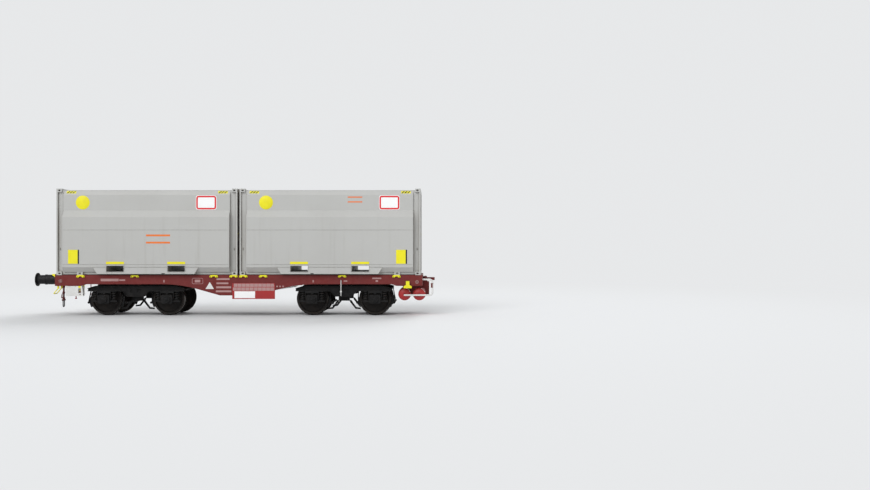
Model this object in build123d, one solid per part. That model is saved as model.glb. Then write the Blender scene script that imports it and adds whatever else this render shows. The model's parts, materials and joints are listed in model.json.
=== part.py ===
from build123d import *
import math
import os

# Four-axle container flatcar with two open-top twenty-foot bulk containers. Millimetres.
# +X runs from the buffer end to the drawbar end, and +Z up from the lowest point of the wheel treads.
# "Near" is the -Y side and "far" the +Y side. Pieces are drawn about the middle of the deck,
# and save() moves them, so that x = 0 lies midway between the buffer faces and the drawbar eye.

SIDES = (-1, 1)
RUNNING_GAP = 0.3

# Containers; heights are counted from a container's underside
CONTAINER_LENGTH = 6058
CONTAINER_WIDTH = 2438
CONTAINER_HEIGHT = 2896
CONTAINER_GAP = 76
CASTING = (178, 162, 118)
CASTING_WALL = 28
CASTING_INNER_WALL = 12
SLOT_LENGTH = 124.5
SLOT_WIDTH = 63.5
# Middle of a casting's aperture, from the end face and from the side face
TOP_SLOT_AT = (102.25, 89.5)
LOW_SLOT_AT = (101.5, 89)
SIDE_HOLE_LENGTH = 79
SIDE_HOLE_WIDTH = 51
POST_STRIP = 45
POST_RECESS = 60
END_PANEL = 60
END_PANEL_SETBACK = 40
END_RIB_DEPTH = 28
END_RIB_HALF_WIDTH = 40
END_RIB_PITCH = 290
END_RIBS = 7
WALL = 40
BODY_SETBACK = 248
BODY_BULGE = 140
LOW_RAIL_Z = 20
LOW_RAIL_INSET = 55
RAIL_WIDTH = 60
SLOPE_LOW_Z = 103
FOOT_SHELF = 20
BULGE_LOW_Z = 266
FLOOR_LOW_Z = 347
TOP_RAIL_Z = CONTAINER_HEIGHT - 48
TOP_RAIL_EDGE = 33
TOP_RAIL_INSET = 65
TOP_RAIL_WIDTH = 160
BAND_TOP_Z = TOP_RAIL_Z - 167
BAND_LOW_Z = BAND_TOP_Z - 516
BULGE_TOP_Z = BAND_LOW_Z - 228
FLOOR_THICKNESS = 12
POCKET_SPACING = 2040
POCKET_WIDTH = 580
POCKET_HEIGHT = 197
POCKET_LOW_Z = 114
POCKET_WALL = 16
POCKET_LIP = 9
APRON_TOP_LENGTH = 3530
APRON_LOW_LENGTH = 3250
APRON_LOW_Z = 40
FOOT_FROM_END = 785
FOOT_HALF_LENGTH = 100
FOOT_HOLE_DEPTH = 40
CROSS_MEMBER_HALF_WIDTH = 30
CROSS_MEMBER_LOW_Z = 60
MEMBER_IN_POCKET = 520
MEMBER_PAST_POCKET = 580
MEMBER_FROM_END = 349

# Whole car, laid out from the containers
DECK_TOP = 1350
DECK_OVERHANG = 34
SILL_END_X = CONTAINER_LENGTH + CONTAINER_GAP / 2 + DECK_OVERHANG
HEADSTOCK_PLATE = 24
HEADSTOCK_X = SILL_END_X + HEADSTOCK_PLATE
BUFFER_LENGTH = 726
BUFFER_FACE_X = -(HEADSTOCK_X + BUFFER_LENGTH)
DRAWBAR_PIN_X = HEADSTOCK_X + 91
DRAWBAR_EYE_X = DRAWBAR_PIN_X + 245
DATUM_SHIFT = -(BUFFER_FACE_X + DRAWBAR_EYE_X) / 2

# Wheelsets
WHEEL_RADIUS = 535
WHEELBASE = 2120
TREAD_SPACING = 1500
BACK_TO_BACK = 1360
RIM_WIDTH = 135
RIM_DEPTH = 70
RIM_FILLET = 20
FLANGE_HEIGHT = 28
TREAD_FALL = 4
HUB_RADIUS = 140
HUB_OVERHANG = 30
HUB_FILLET = 30
WEB_THICKNESS = 30
WEB_HUB_Y = 55
WEB_RIM_Y = 40
SEAT_RADIUS = 100
SEAT_TAPER = 30
SEAT_SHOULDER = 20
AXLE_RADIUS = 87
JOURNAL_RADIUS = 70
JOURNAL_TAPER = 25
JOURNAL_Y = 1000
AXLE_HALF_LENGTH = 1105
JOURNAL_CLEARANCE = 0.05
# Wheel flange from the wheel's back: (y, height above the tread circle)
FLANGE_OUTLINE = ((0, 12), (12, 28), (24, 22), (34, 2))

# Bogies
PIVOT_FROM_END = 2630
PIVOT_X = SILL_END_X - PIVOT_FROM_END
BOGIE_FRAME_Y = 1000
BOGIE_WEB = 26
BOGIE_FLANGE_WIDTH = 150
BOGIE_FLANGE = 20
BOGIE_TOP_Z = 985
BOGIE_SEAT_Z = 800
BOGIE_MID_LOW_Z = 620
BOGIE_TIP_TOP_Z = 905
BOGIE_SHOULDER_X = WHEELBASE / 2 + 280
BOGIE_WAIST_X = WHEELBASE / 2 - 630
BOGIE_MID_X = WHEELBASE / 2 - 760
END_BEAM_Z = 850
END_BEAM_RADIUS = 30
END_BEAM_WHEEL_GAP = 12
END_BEAM_REACH = WHEEL_RADIUS + FLANGE_HEIGHT + END_BEAM_WHEEL_GAP + END_BEAM_RADIUS
END_BEAM_X = WHEELBASE / 2 + math.sqrt(END_BEAM_REACH**2 - (END_BEAM_Z - WHEEL_RADIUS)**2)
BOGIE_HALF_LENGTH = END_BEAM_X + END_BEAM_RADIUS + 4
WINDOW_IN_X = 30
WINDOW_OUT_X = 178
WINDOW_LOW_Z = 740
WINDOW_TOP_Z = 875
TRANSOM_HALF_LENGTH = 185
TRANSOM_LOW_Z = 700
TRANSOM_TOP_Z = 950
PIVOT_BALL_R = 190
PIVOT_BALL_Z = 1150
PIVOT_SPIGOT_R = 130
CUP_OUTER_R = 170
CUP_HEIGHT = 60
SIDE_BEARER_Y = 850
SIDE_BEARER_HALF_X = 110
SIDE_BEARER_HALF_Y = 60
SIDE_BEARER_TOP_Z = 1000

# Axleboxes, horns and springs
BOX_HALF_WIDTH = 190
BOX_HALF_HEIGHT = 150
BOX_CORNER = 55
BOX_INNER_Y = 925
BOX_OUTER_Y = 1110
COVER_RADIUS = 120
COVER_OUTER_Y = 1150
WING_REACH = 430
WING_HALF_Y = 75
WING_TOP_DROP = 45
WING_THICKNESS = 50
SPRING_X = 315
SPRING_RADIUS = 82
HORN_INNER_X = 205
HORN_PLATE = 26
HORN_LOW_Z = 520
HORN_HEAD_Z = 735
BUMP_STOP_Z = 700
BUMP_STOP_HALF_X = 35

# Clasp brakes, released; the inner wheelset has blocks only on the side of the bogie's middle
BLOCK_CLEARANCE = 10
BLOCK_THICKNESS = 55
BLOCK_BACKING = 40
BLOCK_HALF_WIDTH = 32
BLOCK_HALF_ANGLE = 17
BLOCK_DROP_ANGLE = 12
HANGER_HALF_X = 14
HANGER_HALF_Y = 20
HANGER_TOP_OFFSET = 26
HANGER_TOP_Z = 800
BRAKE_BEAM_RADIUS = 38
BRAKE_ARM_REACH = WHEELBASE / 2 - 560
BRAKE_ARM_HALF_Y = 30
BRAKE_ARM_Z = (720, 800)
LEVER_HALF_Y = 12
LEVER_BRACKET_LOW_Z = 465
# Brake lever from its bracket to its foot under the wheel's edge: (x, z)
LEVER_OUTLINE = ((190, 490), (190, 430), (380, 190), (560, 175), (560, 225), (405, 250), (235, 490))

# Side sills, fish-bellied channels facing inwards
SILL_INSET = 19
SILL_OUTER_Y = CONTAINER_WIDTH / 2 - SILL_INSET
SILL_FLANGE_WIDTH = 140
SILL_WEB = 12
SILL_FLANGE = 20
SILL_LOW_Z = 1042
SILL_RAMP = 150
BELLY_LOW_Z = 666
BELLY_HALF_FLAT = 620
BELLY_KNEE_X = PIVOT_X - BOGIE_HALF_LENGTH + 57
BELLY_SWEEP_REACH = 611
BELLY_TURN = math.atan2(SILL_LOW_Z - BELLY_LOW_Z, BELLY_KNEE_X - BELLY_HALF_FLAT)
BELLY_SWEEP = BELLY_SWEEP_REACH / math.tan(BELLY_TURN / 2)
BELLY_ROUND = 60
END_DEPTH_Z = 985
END_DEPTH_LENGTH = 850
SILL_INNER_Y = SILL_OUTER_Y - SILL_FLANGE_WIDTH
SILL_WEB_Y = SILL_OUTER_Y - SILL_WEB
DECK_UNDER_Z = DECK_TOP - SILL_FLANGE

# Headstocks, draft sills, bolsters and crossbearers
HEADSTOCK_DEPTH = 130
THROAT_HALF = 85
DRAFT_HALF_WIDTH = 190
DRAFT_LOW_Z = 1090
DRAFT_PLATE = 16
BOLSTER_HALF_LENGTH = 230
BOLSTER_LOW_Z = 1075
BOLSTER_TIP_Z = 1150
BEARER_HALF_WIDTH = 60
BEARER_HIGH_DEPTH = 150
BEARER_LOW_DEPTH = 260
BEARER_WEB = 14
BEARER_XS = (500, 1500)

# Container seats on the car
BRACKET_XS = (165, 826, PIVOT_X - 30, SILL_END_X - 840)
BRACKET_WIDTH = 270
BRACKET_HEIGHT = 77
BRACKET_LEG = 75
BRACKET_ARCH = 35
BRACKET_ARCH_SLOPE = 25
BRACKET_CHAMFER = (45, 25)
BRACKET_THICKNESS = 40
SPIGOT_HEIGHT = 60
SPIGOT_GAP = 4

# Buffers
BUFFER_Y = 875
BUFFER_Z = 1190
BUFFER_HEAD_RADIUS = 225
BUFFER_HEAD_THICKNESS = 36
BUFFER_HEAD_RIM = (8, 30)
BUFFER_SLEEVE_RADIUS = 165
BUFFER_PLUNGER_RADIUS = 152
BUFFER_SLEEVE_LENGTH = 430
BUFFER_BASE = 24
BUFFER_BASE_RADIUS = 205

# Draw hook and screw coupling
HOOK_HALF = 35
HOOK_CHEEK = 5
HOOK_SHANK = 300
HOOK_SHANK_REACH = 120
HOOK_GUIDE = (24, 95)
# Hook from the side: (reach out of the headstock, height above the draw line, corner radius)
HOOK_OUTLINE = (
    (90, -55, 0),
    (90, 55, 0),
    (150, 62, 20),
    (175, 10, 25),
    (250, 10, 25),
    (265, 105, 12),
    (320, 95, 30),
    (310, -60, 60),
    (230, -95, 60),
)
LINK_PIN_REACH = 170
LINK_PIN_DROP = 30
LINK_PIN_RADIUS = 22
LINK_HALF_WIDTH = 45
LINK_PLATE_Y = (41, 67)
LINK_LENGTH = 200
TRUNNION_RADIUS = 34
TRUNNION_HALF_LENGTH = 95
SCREW_RADIUS = 26
SCREW_COLLAR_RADIUS = 45
SCREW_COLLAR_LENGTH = 90
BOW_TRUNNION_Z = 450
BOW_LOW_Z = 217
BOW_HALF_WIDTH = 61
BOW_RADIUS = 17
BOW_HEAD_HALF = 30
BOW_BEND = 55

# Drawbar and its clevis
DRAWBAR_Z = 1190
DRAWBAR_PIN_RADIUS = 35
DRAWBAR_EYE_RADIUS = 80
DRAWBAR_HALF_HEIGHT = 50
DRAWBAR_HALF_WIDTH = 45
DRAWBAR_EYE_BORE = 38
CLEVIS_GAP = 5
CLEVIS_EAR = 30
CLEVIS_PLATE = 115
CLEVIS_PLATE_THICKNESS = 20
CLEVIS_EAR_REACH = 60
CLEVIS_EAR_ROUND = 50
CLEVIS_SIDE_ROOM = 10
CLEVIS_PIN_HEAD = 15
NOSE_HALF_WIDTH = 90
NOSE_LOW_Z = 905
NOSE_CHAMFER = (50, 55)
NOSE_REACH = 196

# Air reservoirs and brake pipes
RESERVOIR_XS = (SILL_END_X - 575, SILL_END_X - 80)
RESERVOIR_Z = 704
RESERVOIR_RADIUS = 208
RESERVOIR_LENGTH = 1000
RESERVOIR_DOME = 60
RESERVOIR_NEAR_Y = -1060
# Domed end: (share of the dome's depth, share of the radius)
DOME_OUTLINE = ((0, 1), (0.6, 0.82), (1, 0.4), (1, 0), (0, 0))
STRAP = 8
STRAP_HALF_WIDTH = 25
STRAP_FOOT_HALF = 60
STRAP_YS = (-850, -270)
CARRIER_PLATE = 12
CARRIER_OVERHANG = 100
CARRIER_NEAR_Y = -1000
PIPE_Z = 672
PIPE_TOP_Z = 1200
PIPE_END_X = HEADSTOCK_X + 346
PIPE_RADIUS = 28
PIPE_STAND_OFF = 48
PIPE_BENDS = (34, 100, 100)
BELLY_PIPE_Y = 930
BELLY_PIPE_RADIUS = 18
BELLY_PIPE_LOW_Z = 862
BELLY_PIPE_KNEE_Z = 958
BELLY_PIPE_HIGH_Z = 1012
BELLY_PIPE_END_Z = 1240
BELLY_PIPE_RISE_X = BELLY_KNEE_X + 173
BELLY_PIPE_KNEES = (900, 240, 155)

# Fittings
BOX_FROM_END = (350, 925)
BOX_X = tuple(inset - SILL_END_X for inset in BOX_FROM_END)
BOX_LOW_Z = 646
BOX_DEPTH = 120
BOX_SLANT = 40
BOX_ROUND = 20
BOX_WINDOW_X = (BOX_X[1] - 167, BOX_X[1] - 77)
BOX_WINDOW_Z = (749, 900)
BOX_WINDOW_DEPTH = 70
RELEASE_BAR_Y = SILL_INNER_Y - 10
RELEASE_BAR_RADIUS = 16
# Release bars: (side, inset from the sill's buffer end, height of the foot)
RELEASE_BARS = ((-1, 630, 560), (1, 630, 588), (1, 370, 588))
RELEASE_GRIP = 60
BOARD_X = (-210, 1220)
BOARD_Z = (549, 1078)
BOARD_THICKNESS = 14
VALVE_ROD_X = PIVOT_X - 70
VALVE_ROD_HALF = 11
VALVE_ROD_Z = (650, 1180)
VALVE_CLAMP_Z = (770, 830)
VALVE_CLAMP_HALF = 26
HAND_BAR_TOP_X = SILL_END_X - 70
HAND_BAR_TOP_Z = 908
HAND_BAR_LOW_X = HEADSTOCK_X + 66
HAND_BAR_LOW_Z = 720
HAND_BAR_Y = (850, 1150)
HAND_BAR_RADIUS = 15
HAND_BAR_BEND = 50
HAND_BAR_LUG_HALF = 25
CORNER_LUG_LENGTH = 96
CORNER_LUG_Y = (1120, 1200)
CORNER_LUG_Z = (1285, 1385)
RAIL_POST_X = -(HEADSTOCK_X + 26)
RAIL_Y = SILL_OUTER_Y + 40
RAIL_LOW_Z = 718
RAIL_TOP_Z = 2558
RAIL_LOOP_Z = 1820
RAIL_LOOP = 260
RAIL_RADIUS = 20
RAIL_BEND = 80
RAIL_LUG_ZS = (1045, 1230)
RAIL_LUG_HALF = 25
STEP_STRAP_X = -(SILL_END_X - 60)
STEP_STRAP_HALF = 25
STEP_X = (-(SILL_END_X + 430), -(SILL_END_X - 110))
STEP_WIDTH = 170
STEP_Z = 580
STEP_THICKNESS = 30
STEP_PLATE = 12
LIFT_X = (SILL_END_X - 600, SILL_END_X - 330)
LIFT_Z = (910, 1150)
LIFT_FOOT = 60
LIFT_NECK_RISE = 110
LIFT_NECK_HALF = 60
LIFT_THICKNESS = 60
PANEL_X = (SILL_END_X - 570, HEADSTOCK_X + 216)
PANEL_Z = (580, 1050)
PANEL_THICKNESS = 12
PANEL_BAR_X = (HEADSTOCK_X + 116, HEADSTOCK_X - 14)
PANEL_BAR_Z = (880, 720)
PANEL_BAR_STAND_OFF = 45
PANEL_BAR_BEND = 30


def block(x_span, y_span, z_span):
    """Box between two corners."""
    spans = (x_span, y_span, z_span)
    middle = [(low + high) / 2 for low, high in spans]
    return Pos(*middle) * Box(*[abs(high - low) for low, high in spans])


def about(middle, half):
    """Span from half below a middle value to half above it."""
    return middle - half, middle + half


def outline_face(corners, radii):
    """Flat face from corner points in space, each rounded by its radius."""
    if any(radii):
        wire = FilletPolyline(*corners, radius=radii, close=True)
    else:
        wire = Polyline(*corners, close=True)
    return make_face(wire.edges())


def side_plate(points, y_span):
    """Plate across Y whose outline is (x, z) or (x, z, corner radius) points."""
    low, high = sorted(y_span)
    corners = [(point[0], low, point[1]) for point in points]
    radii = [point[2] if len(point) > 2 else 0 for point in points]
    return extrude(outline_face(corners, radii), amount=high - low, dir=(0, 1, 0))


def cross_plate(points, x_span):
    """Plate across X whose outline is (y, z) or (y, z, corner radius) points."""
    low, high = sorted(x_span)
    corners = [(low, point[0], point[1]) for point in points]
    radii = [point[2] if len(point) > 2 else 0 for point in points]
    return extrude(outline_face(corners, radii), amount=high - low, dir=(1, 0, 0))


def level_plate(points, z_span):
    """Plate across Z whose outline is (x, y) or (x, y, corner radius) points."""
    low, high = sorted(z_span)
    corners = [(point[0], point[1], low) for point in points]
    radii = [point[2] if len(point) > 2 else 0 for point in points]
    return extrude(outline_face(corners, radii), amount=high - low, dir=(0, 0, 1))


def bar(start, end, radius):
    """Round bar from one point to another."""
    start, end = Vector(*start), Vector(*end)
    plane = Plane(origin=start, z_dir=end - start)
    return Part() + Solid.make_cylinder(radius, (end - start).length, plane)


def bar_y(x, y_span, z, radius):
    """Round bar along Y."""
    return bar((x, y_span[0], z), (x, y_span[1], z), radius)


def bar_z(x, y, z_span, radius):
    """Upright round bar."""
    return bar((x, y, z_span[0]), (x, y, z_span[1]), radius)


def pipe(points, radius, bends):
    """Round pipe along straight runs joined by tangent arcs."""
    path = FilletPolyline(*points, radius=bends)
    section = Plane(origin=path @ 0, z_dir=path % 0) * Circle(radius)
    return sweep(section, path=path)


def turned_y(profile, x, z):
    """Ring or shaft turned about a line along Y; the profile is (y, radius) points."""
    corners = [(x, y, z + radius) for y, radius in profile]
    face = make_face(Polyline(*corners, close=True).edges())
    return revolve(face, Axis((x, 0, z), (0, 1, 0)))


def turned_x(profile, y, z):
    """The same about a line along X; the profile is (x, radius) points."""
    corners = [(x, y, z + radius) for x, radius in profile]
    face = make_face(Polyline(*corners, close=True).edges())
    return revolve(face, Axis((0, y, z), (1, 0, 0)))


def both_ways(half):
    """A symmetric edge from its right half, as (x, z, corner radius)."""
    return [(-x, z, radius) for x, z, radius in reversed(half)] + half


def far_copy(shape):
    """The same piece on the other side of the centreline."""
    return mirror(shape, Plane.XZ)


def both_sides(near):
    """Near pieces together with their copies on the far side."""
    return near + [far_copy(piece) for piece in near]


def moved(shape, x):
    """The same piece shifted along the car."""
    return Pos(x, 0, 0) * shape


def save(name, *pieces):
    """Write one node. Each piece in it stays a solid of its own."""
    solids = [moved(solid, DATUM_SHIFT) for piece in pieces for solid in piece.solids()]
    shape = solids[0] if len(solids) == 1 else Compound(solids)
    export_step(shape, f"parts/{name}.step")


# Underframe

def sill_low_edge():
    """Lower edge of a side sill from end to end, as (x, z, corner radius)."""
    end_in = SILL_END_X - END_DEPTH_LENGTH
    return both_ways([
        (BELLY_HALF_FLAT, BELLY_LOW_Z, BELLY_ROUND),
        (BELLY_KNEE_X, SILL_LOW_Z, BELLY_SWEEP),
        (end_in - SILL_RAMP, SILL_LOW_Z, SILL_RAMP),
        (end_in, END_DEPTH_Z, SILL_RAMP),
        (SILL_END_X, END_DEPTH_Z, 0),
    ])


def side_sill():
    """Near side sill: web, top flange and belly flange, in lengths that meet at the belly's bends."""
    low_edge = sill_low_edge()
    ends = [(SILL_END_X, DECK_TOP, 0), (-SILL_END_X, DECK_TOP, 0)]
    web = side_plate(low_edge + ends, (-SILL_OUTER_Y, -SILL_WEB_Y))
    raised = [(x, z + SILL_FLANGE, radius) for x, z, radius in reversed(low_edge)]
    flange_y = (-SILL_WEB_Y, -SILL_INNER_Y)
    belly = side_plate(low_edge + raised, flange_y)
    knees = (-SILL_END_X, -BELLY_KNEE_X, BELLY_KNEE_X, SILL_END_X)
    bends = (-SILL_END_X, -BELLY_KNEE_X, -BELLY_HALF_FLAT, BELLY_HALF_FLAT, BELLY_KNEE_X, SILL_END_X)
    lengths = [block((-SILL_END_X, SILL_END_X), flange_y, (DECK_UNDER_Z, DECK_TOP))]
    for shape, cuts in ((web, knees), (belly, bends)):
        for span in zip(cuts, cuts[1:]):
            lengths.append(shape & block(span, (-SILL_OUTER_Y, -SILL_INNER_Y), (BELLY_LOW_Z, DECK_TOP)))
    return lengths


def headstock(end):
    """End beam of the underframe: a plate with flanges facing inwards, open for the draw gear."""
    outer = end * HEADSTOCK_X
    inner = end * SILL_END_X
    plate = block(sorted((inner, outer)), (-SILL_OUTER_Y, SILL_OUTER_Y), (END_DEPTH_Z, DECK_TOP))
    flange_x = sorted((inner, inner - end * HEADSTOCK_DEPTH))
    for z in (END_DEPTH_Z, DECK_UNDER_Z):
        plate += block(flange_x, (-SILL_INNER_Y, SILL_INNER_Y), (z, z + SILL_FLANGE))
    throat_x = sorted((inner - end, outer + end))
    return plate - block(throat_x, (-THROAT_HALF, THROAT_HALF), about(DRAWBAR_Z, THROAT_HALF))


def draft_sill(end):
    """Open-bottomed box from the headstock to the bolster, which takes the draw gear's pull."""
    x_span = sorted((end * (PIVOT_X + BOLSTER_HALF_LENGTH), end * SILL_END_X))
    top = block(x_span, (-DRAFT_HALF_WIDTH, DRAFT_HALF_WIDTH), (DECK_UNDER_Z - DRAFT_PLATE, DECK_UNDER_Z))
    for side in SIDES:
        y_span = sorted((side * DRAFT_HALF_WIDTH, side * (DRAFT_HALF_WIDTH - DRAFT_PLATE)))
        top += block(x_span, y_span, (DRAFT_LOW_Z, DECK_UNDER_Z))
    return top


def bolster(end):
    """Box beam across the car over a bogie, shallower at its tips, with pivot and bearer pads."""
    x = end * PIVOT_X
    pad_out = SIDE_BEARER_Y + SIDE_BEARER_HALF_Y
    half = [(pad_out, BOLSTER_LOW_Z, 0), (SILL_WEB_Y, BOLSTER_TIP_Z, 0), (SILL_WEB_Y, DECK_UNDER_Z, 0)]
    outline = both_ways(half)
    beam = cross_plate(outline, about(x, BOLSTER_HALF_LENGTH))
    ball = Pos(x, 0, PIVOT_BALL_Z) * Sphere(PIVOT_BALL_R)
    ball &= Pos(x, 0, BOLSTER_LOW_Z - PIVOT_BALL_R / 2) * Cylinder(PIVOT_SPIGOT_R, PIVOT_BALL_R)
    beam += ball
    for side in SIDES:
        beam += block(
            about(x, SIDE_BEARER_HALF_X),
            about(side * SIDE_BEARER_Y, SIDE_BEARER_HALF_Y),
            (SIDE_BEARER_TOP_Z + RUNNING_GAP, BOLSTER_LOW_Z),
        )
    return beam


def crossbearer(x, depth, half_span):
    """I-beam across the car under the deck."""
    low_z = DECK_UNDER_Z - depth
    beam = block(about(x, BEARER_WEB / 2), half_span, (low_z, DECK_UNDER_Z))
    for z in (low_z, DECK_UNDER_Z - BEARER_WEB):
        beam += block(about(x, BEARER_HALF_WIDTH), half_span, (z, z + BEARER_WEB))
    return beam


def crossbearers():
    """Deep beams between the bogies, and shallow ones in two halves over the wheels."""
    full = (-SILL_WEB_Y, SILL_WEB_Y)
    beams = []
    for end in SIDES:
        beams += [crossbearer(end * x, BEARER_LOW_DEPTH, full) for x in BEARER_XS]
        beams.append(crossbearer(end * (PIVOT_X - WHEELBASE / 2), BEARER_HIGH_DEPTH, full))
        for side in SIDES:
            half = sorted((side * SILL_WEB_Y, side * DRAFT_HALF_WIDTH))
            beams.append(crossbearer(end * (PIVOT_X + WHEELBASE / 2), BEARER_HIGH_DEPTH, half))
    return beams


# Bogies, drawn about their own pivot

def bogie_side_frame():
    """Near side frame: web with two windows, flanges, horns and the heads over the axleboxes."""
    top = both_ways([(BOGIE_SHOULDER_X, BOGIE_TOP_Z, 200), (BOGIE_HALF_LENGTH, BOGIE_TIP_TOP_Z, 0)])
    low = both_ways([
        (BOGIE_MID_X, BOGIE_MID_LOW_Z, 80),
        (BOGIE_WAIST_X, BOGIE_SEAT_Z, 80),
        (BOGIE_HALF_LENGTH, BOGIE_SEAT_Z, 0),
    ])
    web_y = about(-BOGIE_FRAME_Y, BOGIE_WEB / 2)
    web = side_plate(top + low[::-1], web_y)
    for side in SIDES:
        x_span = sorted((side * WINDOW_IN_X, side * WINDOW_OUT_X))
        web -= block(x_span, web_y, (WINDOW_LOW_Z, WINDOW_TOP_Z))
    flange_y = about(-BOGIE_FRAME_Y, BOGIE_FLANGE_WIDTH / 2)
    for line, thickness in ((top, -BOGIE_FLANGE), (low, BOGIE_FLANGE)):
        inner = [(x, z + thickness, radius) for x, z, radius in reversed(line)]
        web += side_plate(line + inner, flange_y)
    for axle_x in about(0, WHEELBASE / 2):
        web += block(about(axle_x, HORN_INNER_X + HORN_PLATE), flange_y, (HORN_HEAD_Z, BOGIE_SEAT_Z))
        web += block(about(axle_x, BUMP_STOP_HALF_X), flange_y, (BUMP_STOP_Z, HORN_HEAD_Z))
        for side in SIDES:
            x_span = sorted((axle_x + side * HORN_INNER_X, axle_x + side * (HORN_INNER_X + HORN_PLATE)))
            web += block(x_span, flange_y, (HORN_LOW_Z, HORN_HEAD_Z))
    return web


def bogie_transom():
    """Cross beam with the pivot cup, side bearers, brake arms and the brackets of the levers."""
    inner_y = BOGIE_FRAME_Y - BOGIE_WEB / 2
    beam = block(about(0, TRANSOM_HALF_LENGTH), (-inner_y, inner_y), (TRANSOM_LOW_Z, TRANSOM_TOP_Z))
    beam += Pos(0, 0, TRANSOM_TOP_Z + CUP_HEIGHT / 2) * Cylinder(CUP_OUTER_R, CUP_HEIGHT)
    beam -= Pos(0, 0, PIVOT_BALL_Z) * Sphere(PIVOT_BALL_R + RUNNING_GAP)
    for side in SIDES:
        bearer_y = about(side * SIDE_BEARER_Y, SIDE_BEARER_HALF_Y)
        beam += block(about(0, SIDE_BEARER_HALF_X), bearer_y, (TRANSOM_TOP_Z, SIDE_BEARER_TOP_Z))
        wheel_y = side * TREAD_SPACING / 2
        beam += block(about(0, BRAKE_ARM_REACH), about(wheel_y, BRAKE_ARM_HALF_Y), BRAKE_ARM_Z)
        bracket_z = (LEVER_BRACKET_LOW_Z, TRANSOM_LOW_Z)
        beam += block(about(0, LEVER_OUTLINE[0][0]), about(wheel_y, LEVER_HALF_Y), bracket_z)
    return beam


def bogie_end_beam(end):
    """Tube that joins the side frames, with a lug for each outer brake hanger."""
    inner_y = BOGIE_FRAME_Y - BOGIE_WEB / 2
    beam = bar_y(end * END_BEAM_X, (-inner_y, inner_y), END_BEAM_Z, END_BEAM_RADIUS)
    lug_x = end * (END_BEAM_X + HANGER_TOP_OFFSET)
    for side in SIDES:
        lug_y = about(side * TREAD_SPACING / 2, HANGER_HALF_Y)
        beam += block(about(lug_x, HANGER_HALF_X), lug_y, (HANGER_TOP_Z, END_BEAM_Z))
    return beam


def axlebox(axle_x):
    """Near axlebox: housing with a blind bore, round cover and two wings under the springs."""
    z = WHEEL_RADIUS
    low, high = about(z, BOX_HALF_HEIGHT)
    left, right = about(axle_x, BOX_HALF_WIDTH)
    corners = [(left, low), (right, low), (right, high), (left, high)]
    housing = side_plate([(x, corner_z, BOX_CORNER) for x, corner_z in corners], (-BOX_OUTER_Y, -BOX_INNER_Y))
    housing += bar_y(axle_x, (-COVER_OUTER_Y, -BOX_OUTER_Y), z, COVER_RADIUS)
    wing_top = z - WING_TOP_DROP
    wing_z = (wing_top - WING_THICKNESS, wing_top)
    housing += block(about(axle_x, WING_REACH), about(-JOURNAL_Y, WING_HALF_Y), wing_z)
    return housing - bar_y(axle_x, (-BOX_OUTER_Y, -BOX_INNER_Y), z, JOURNAL_RADIUS + JOURNAL_CLEARANCE)


def spring(x):
    """Outer shape of one nested pair of coil springs."""
    return bar_z(x, -JOURNAL_Y, (WHEEL_RADIUS - WING_TOP_DROP, BOGIE_SEAT_Z), SPRING_RADIUS)


def brake_block(axle_x, side, y):
    """Brake block with its holder: a ring segment that faces the tread."""
    inner_r = WHEEL_RADIUS + BLOCK_CLEARANCE
    low = y - BLOCK_HALF_WIDTH
    rays = [math.radians(BLOCK_DROP_ANGLE + step * BLOCK_HALF_ANGLE) for step in (-1, 0, 1)]
    inner, outer = [
        [(axle_x + side * radius * math.cos(ray), low, WHEEL_RADIUS - radius * math.sin(ray)) for ray in rays]
        for radius in (inner_r, inner_r + BLOCK_THICKNESS)
    ]
    edges = [ThreePointArc(*inner), Line(inner[2], outer[2]), ThreePointArc(*outer), Line(outer[0], inner[0])]
    return extrude(make_face(edges), amount=2 * BLOCK_HALF_WIDTH, dir=(0, 1, 0))


def brake_set(axle_x, side):
    """One side of an axle: two blocks, the hangers they swing on and the beam between them."""
    reach = WHEEL_RADIUS + BLOCK_CLEARANCE + BLOCK_THICKNESS
    drop = math.radians(BLOCK_DROP_ANGLE)
    beam_x = axle_x + side * (reach + BLOCK_BACKING) * math.cos(drop)
    beam_z = WHEEL_RADIUS - (reach + BLOCK_BACKING) * math.sin(drop)
    if side * axle_x > 0:
        low_x = beam_x
        top_x, top_z = side * (END_BEAM_X + HANGER_TOP_OFFSET), HANGER_TOP_Z
    else:
        low_x = top_x = axle_x + side * (reach - HANGER_HALF_X)
        top_z = BRAKE_ARM_Z[0]
    hanger = [(low_x - HANGER_HALF_X, beam_z), (low_x + HANGER_HALF_X, beam_z),
              (top_x + HANGER_HALF_X, top_z), (top_x - HANGER_HALF_X, top_z)]
    half = TREAD_SPACING / 2
    piece = bar_y(beam_x, (-half, half), beam_z, BRAKE_BEAM_RADIUS)
    for y in (-half, half):
        piece += brake_block(axle_x, side, y)
        piece += side_plate(hanger, about(y, HANGER_HALF_Y))
        if side * axle_x > 0:
            link_x = sorted((beam_x, axle_x + side * (reach - BLOCK_THICKNESS / 2) * math.cos(drop)))
            piece += block(link_x, about(y, HANGER_HALF_Y), about(beam_z, HANGER_HALF_Y))
    return piece


def brake_levers():
    """Levers between the wheels, one each way from the bogie's middle on both sides."""
    levers = []
    for way in SIDES:
        outline = [(way * x, z) for x, z in LEVER_OUTLINE]
        levers += [side_plate(outline, about(side * TREAD_SPACING / 2, LEVER_HALF_Y)) for side in SIDES]
    return levers


# Wheelsets, drawn about x = 0

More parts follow.
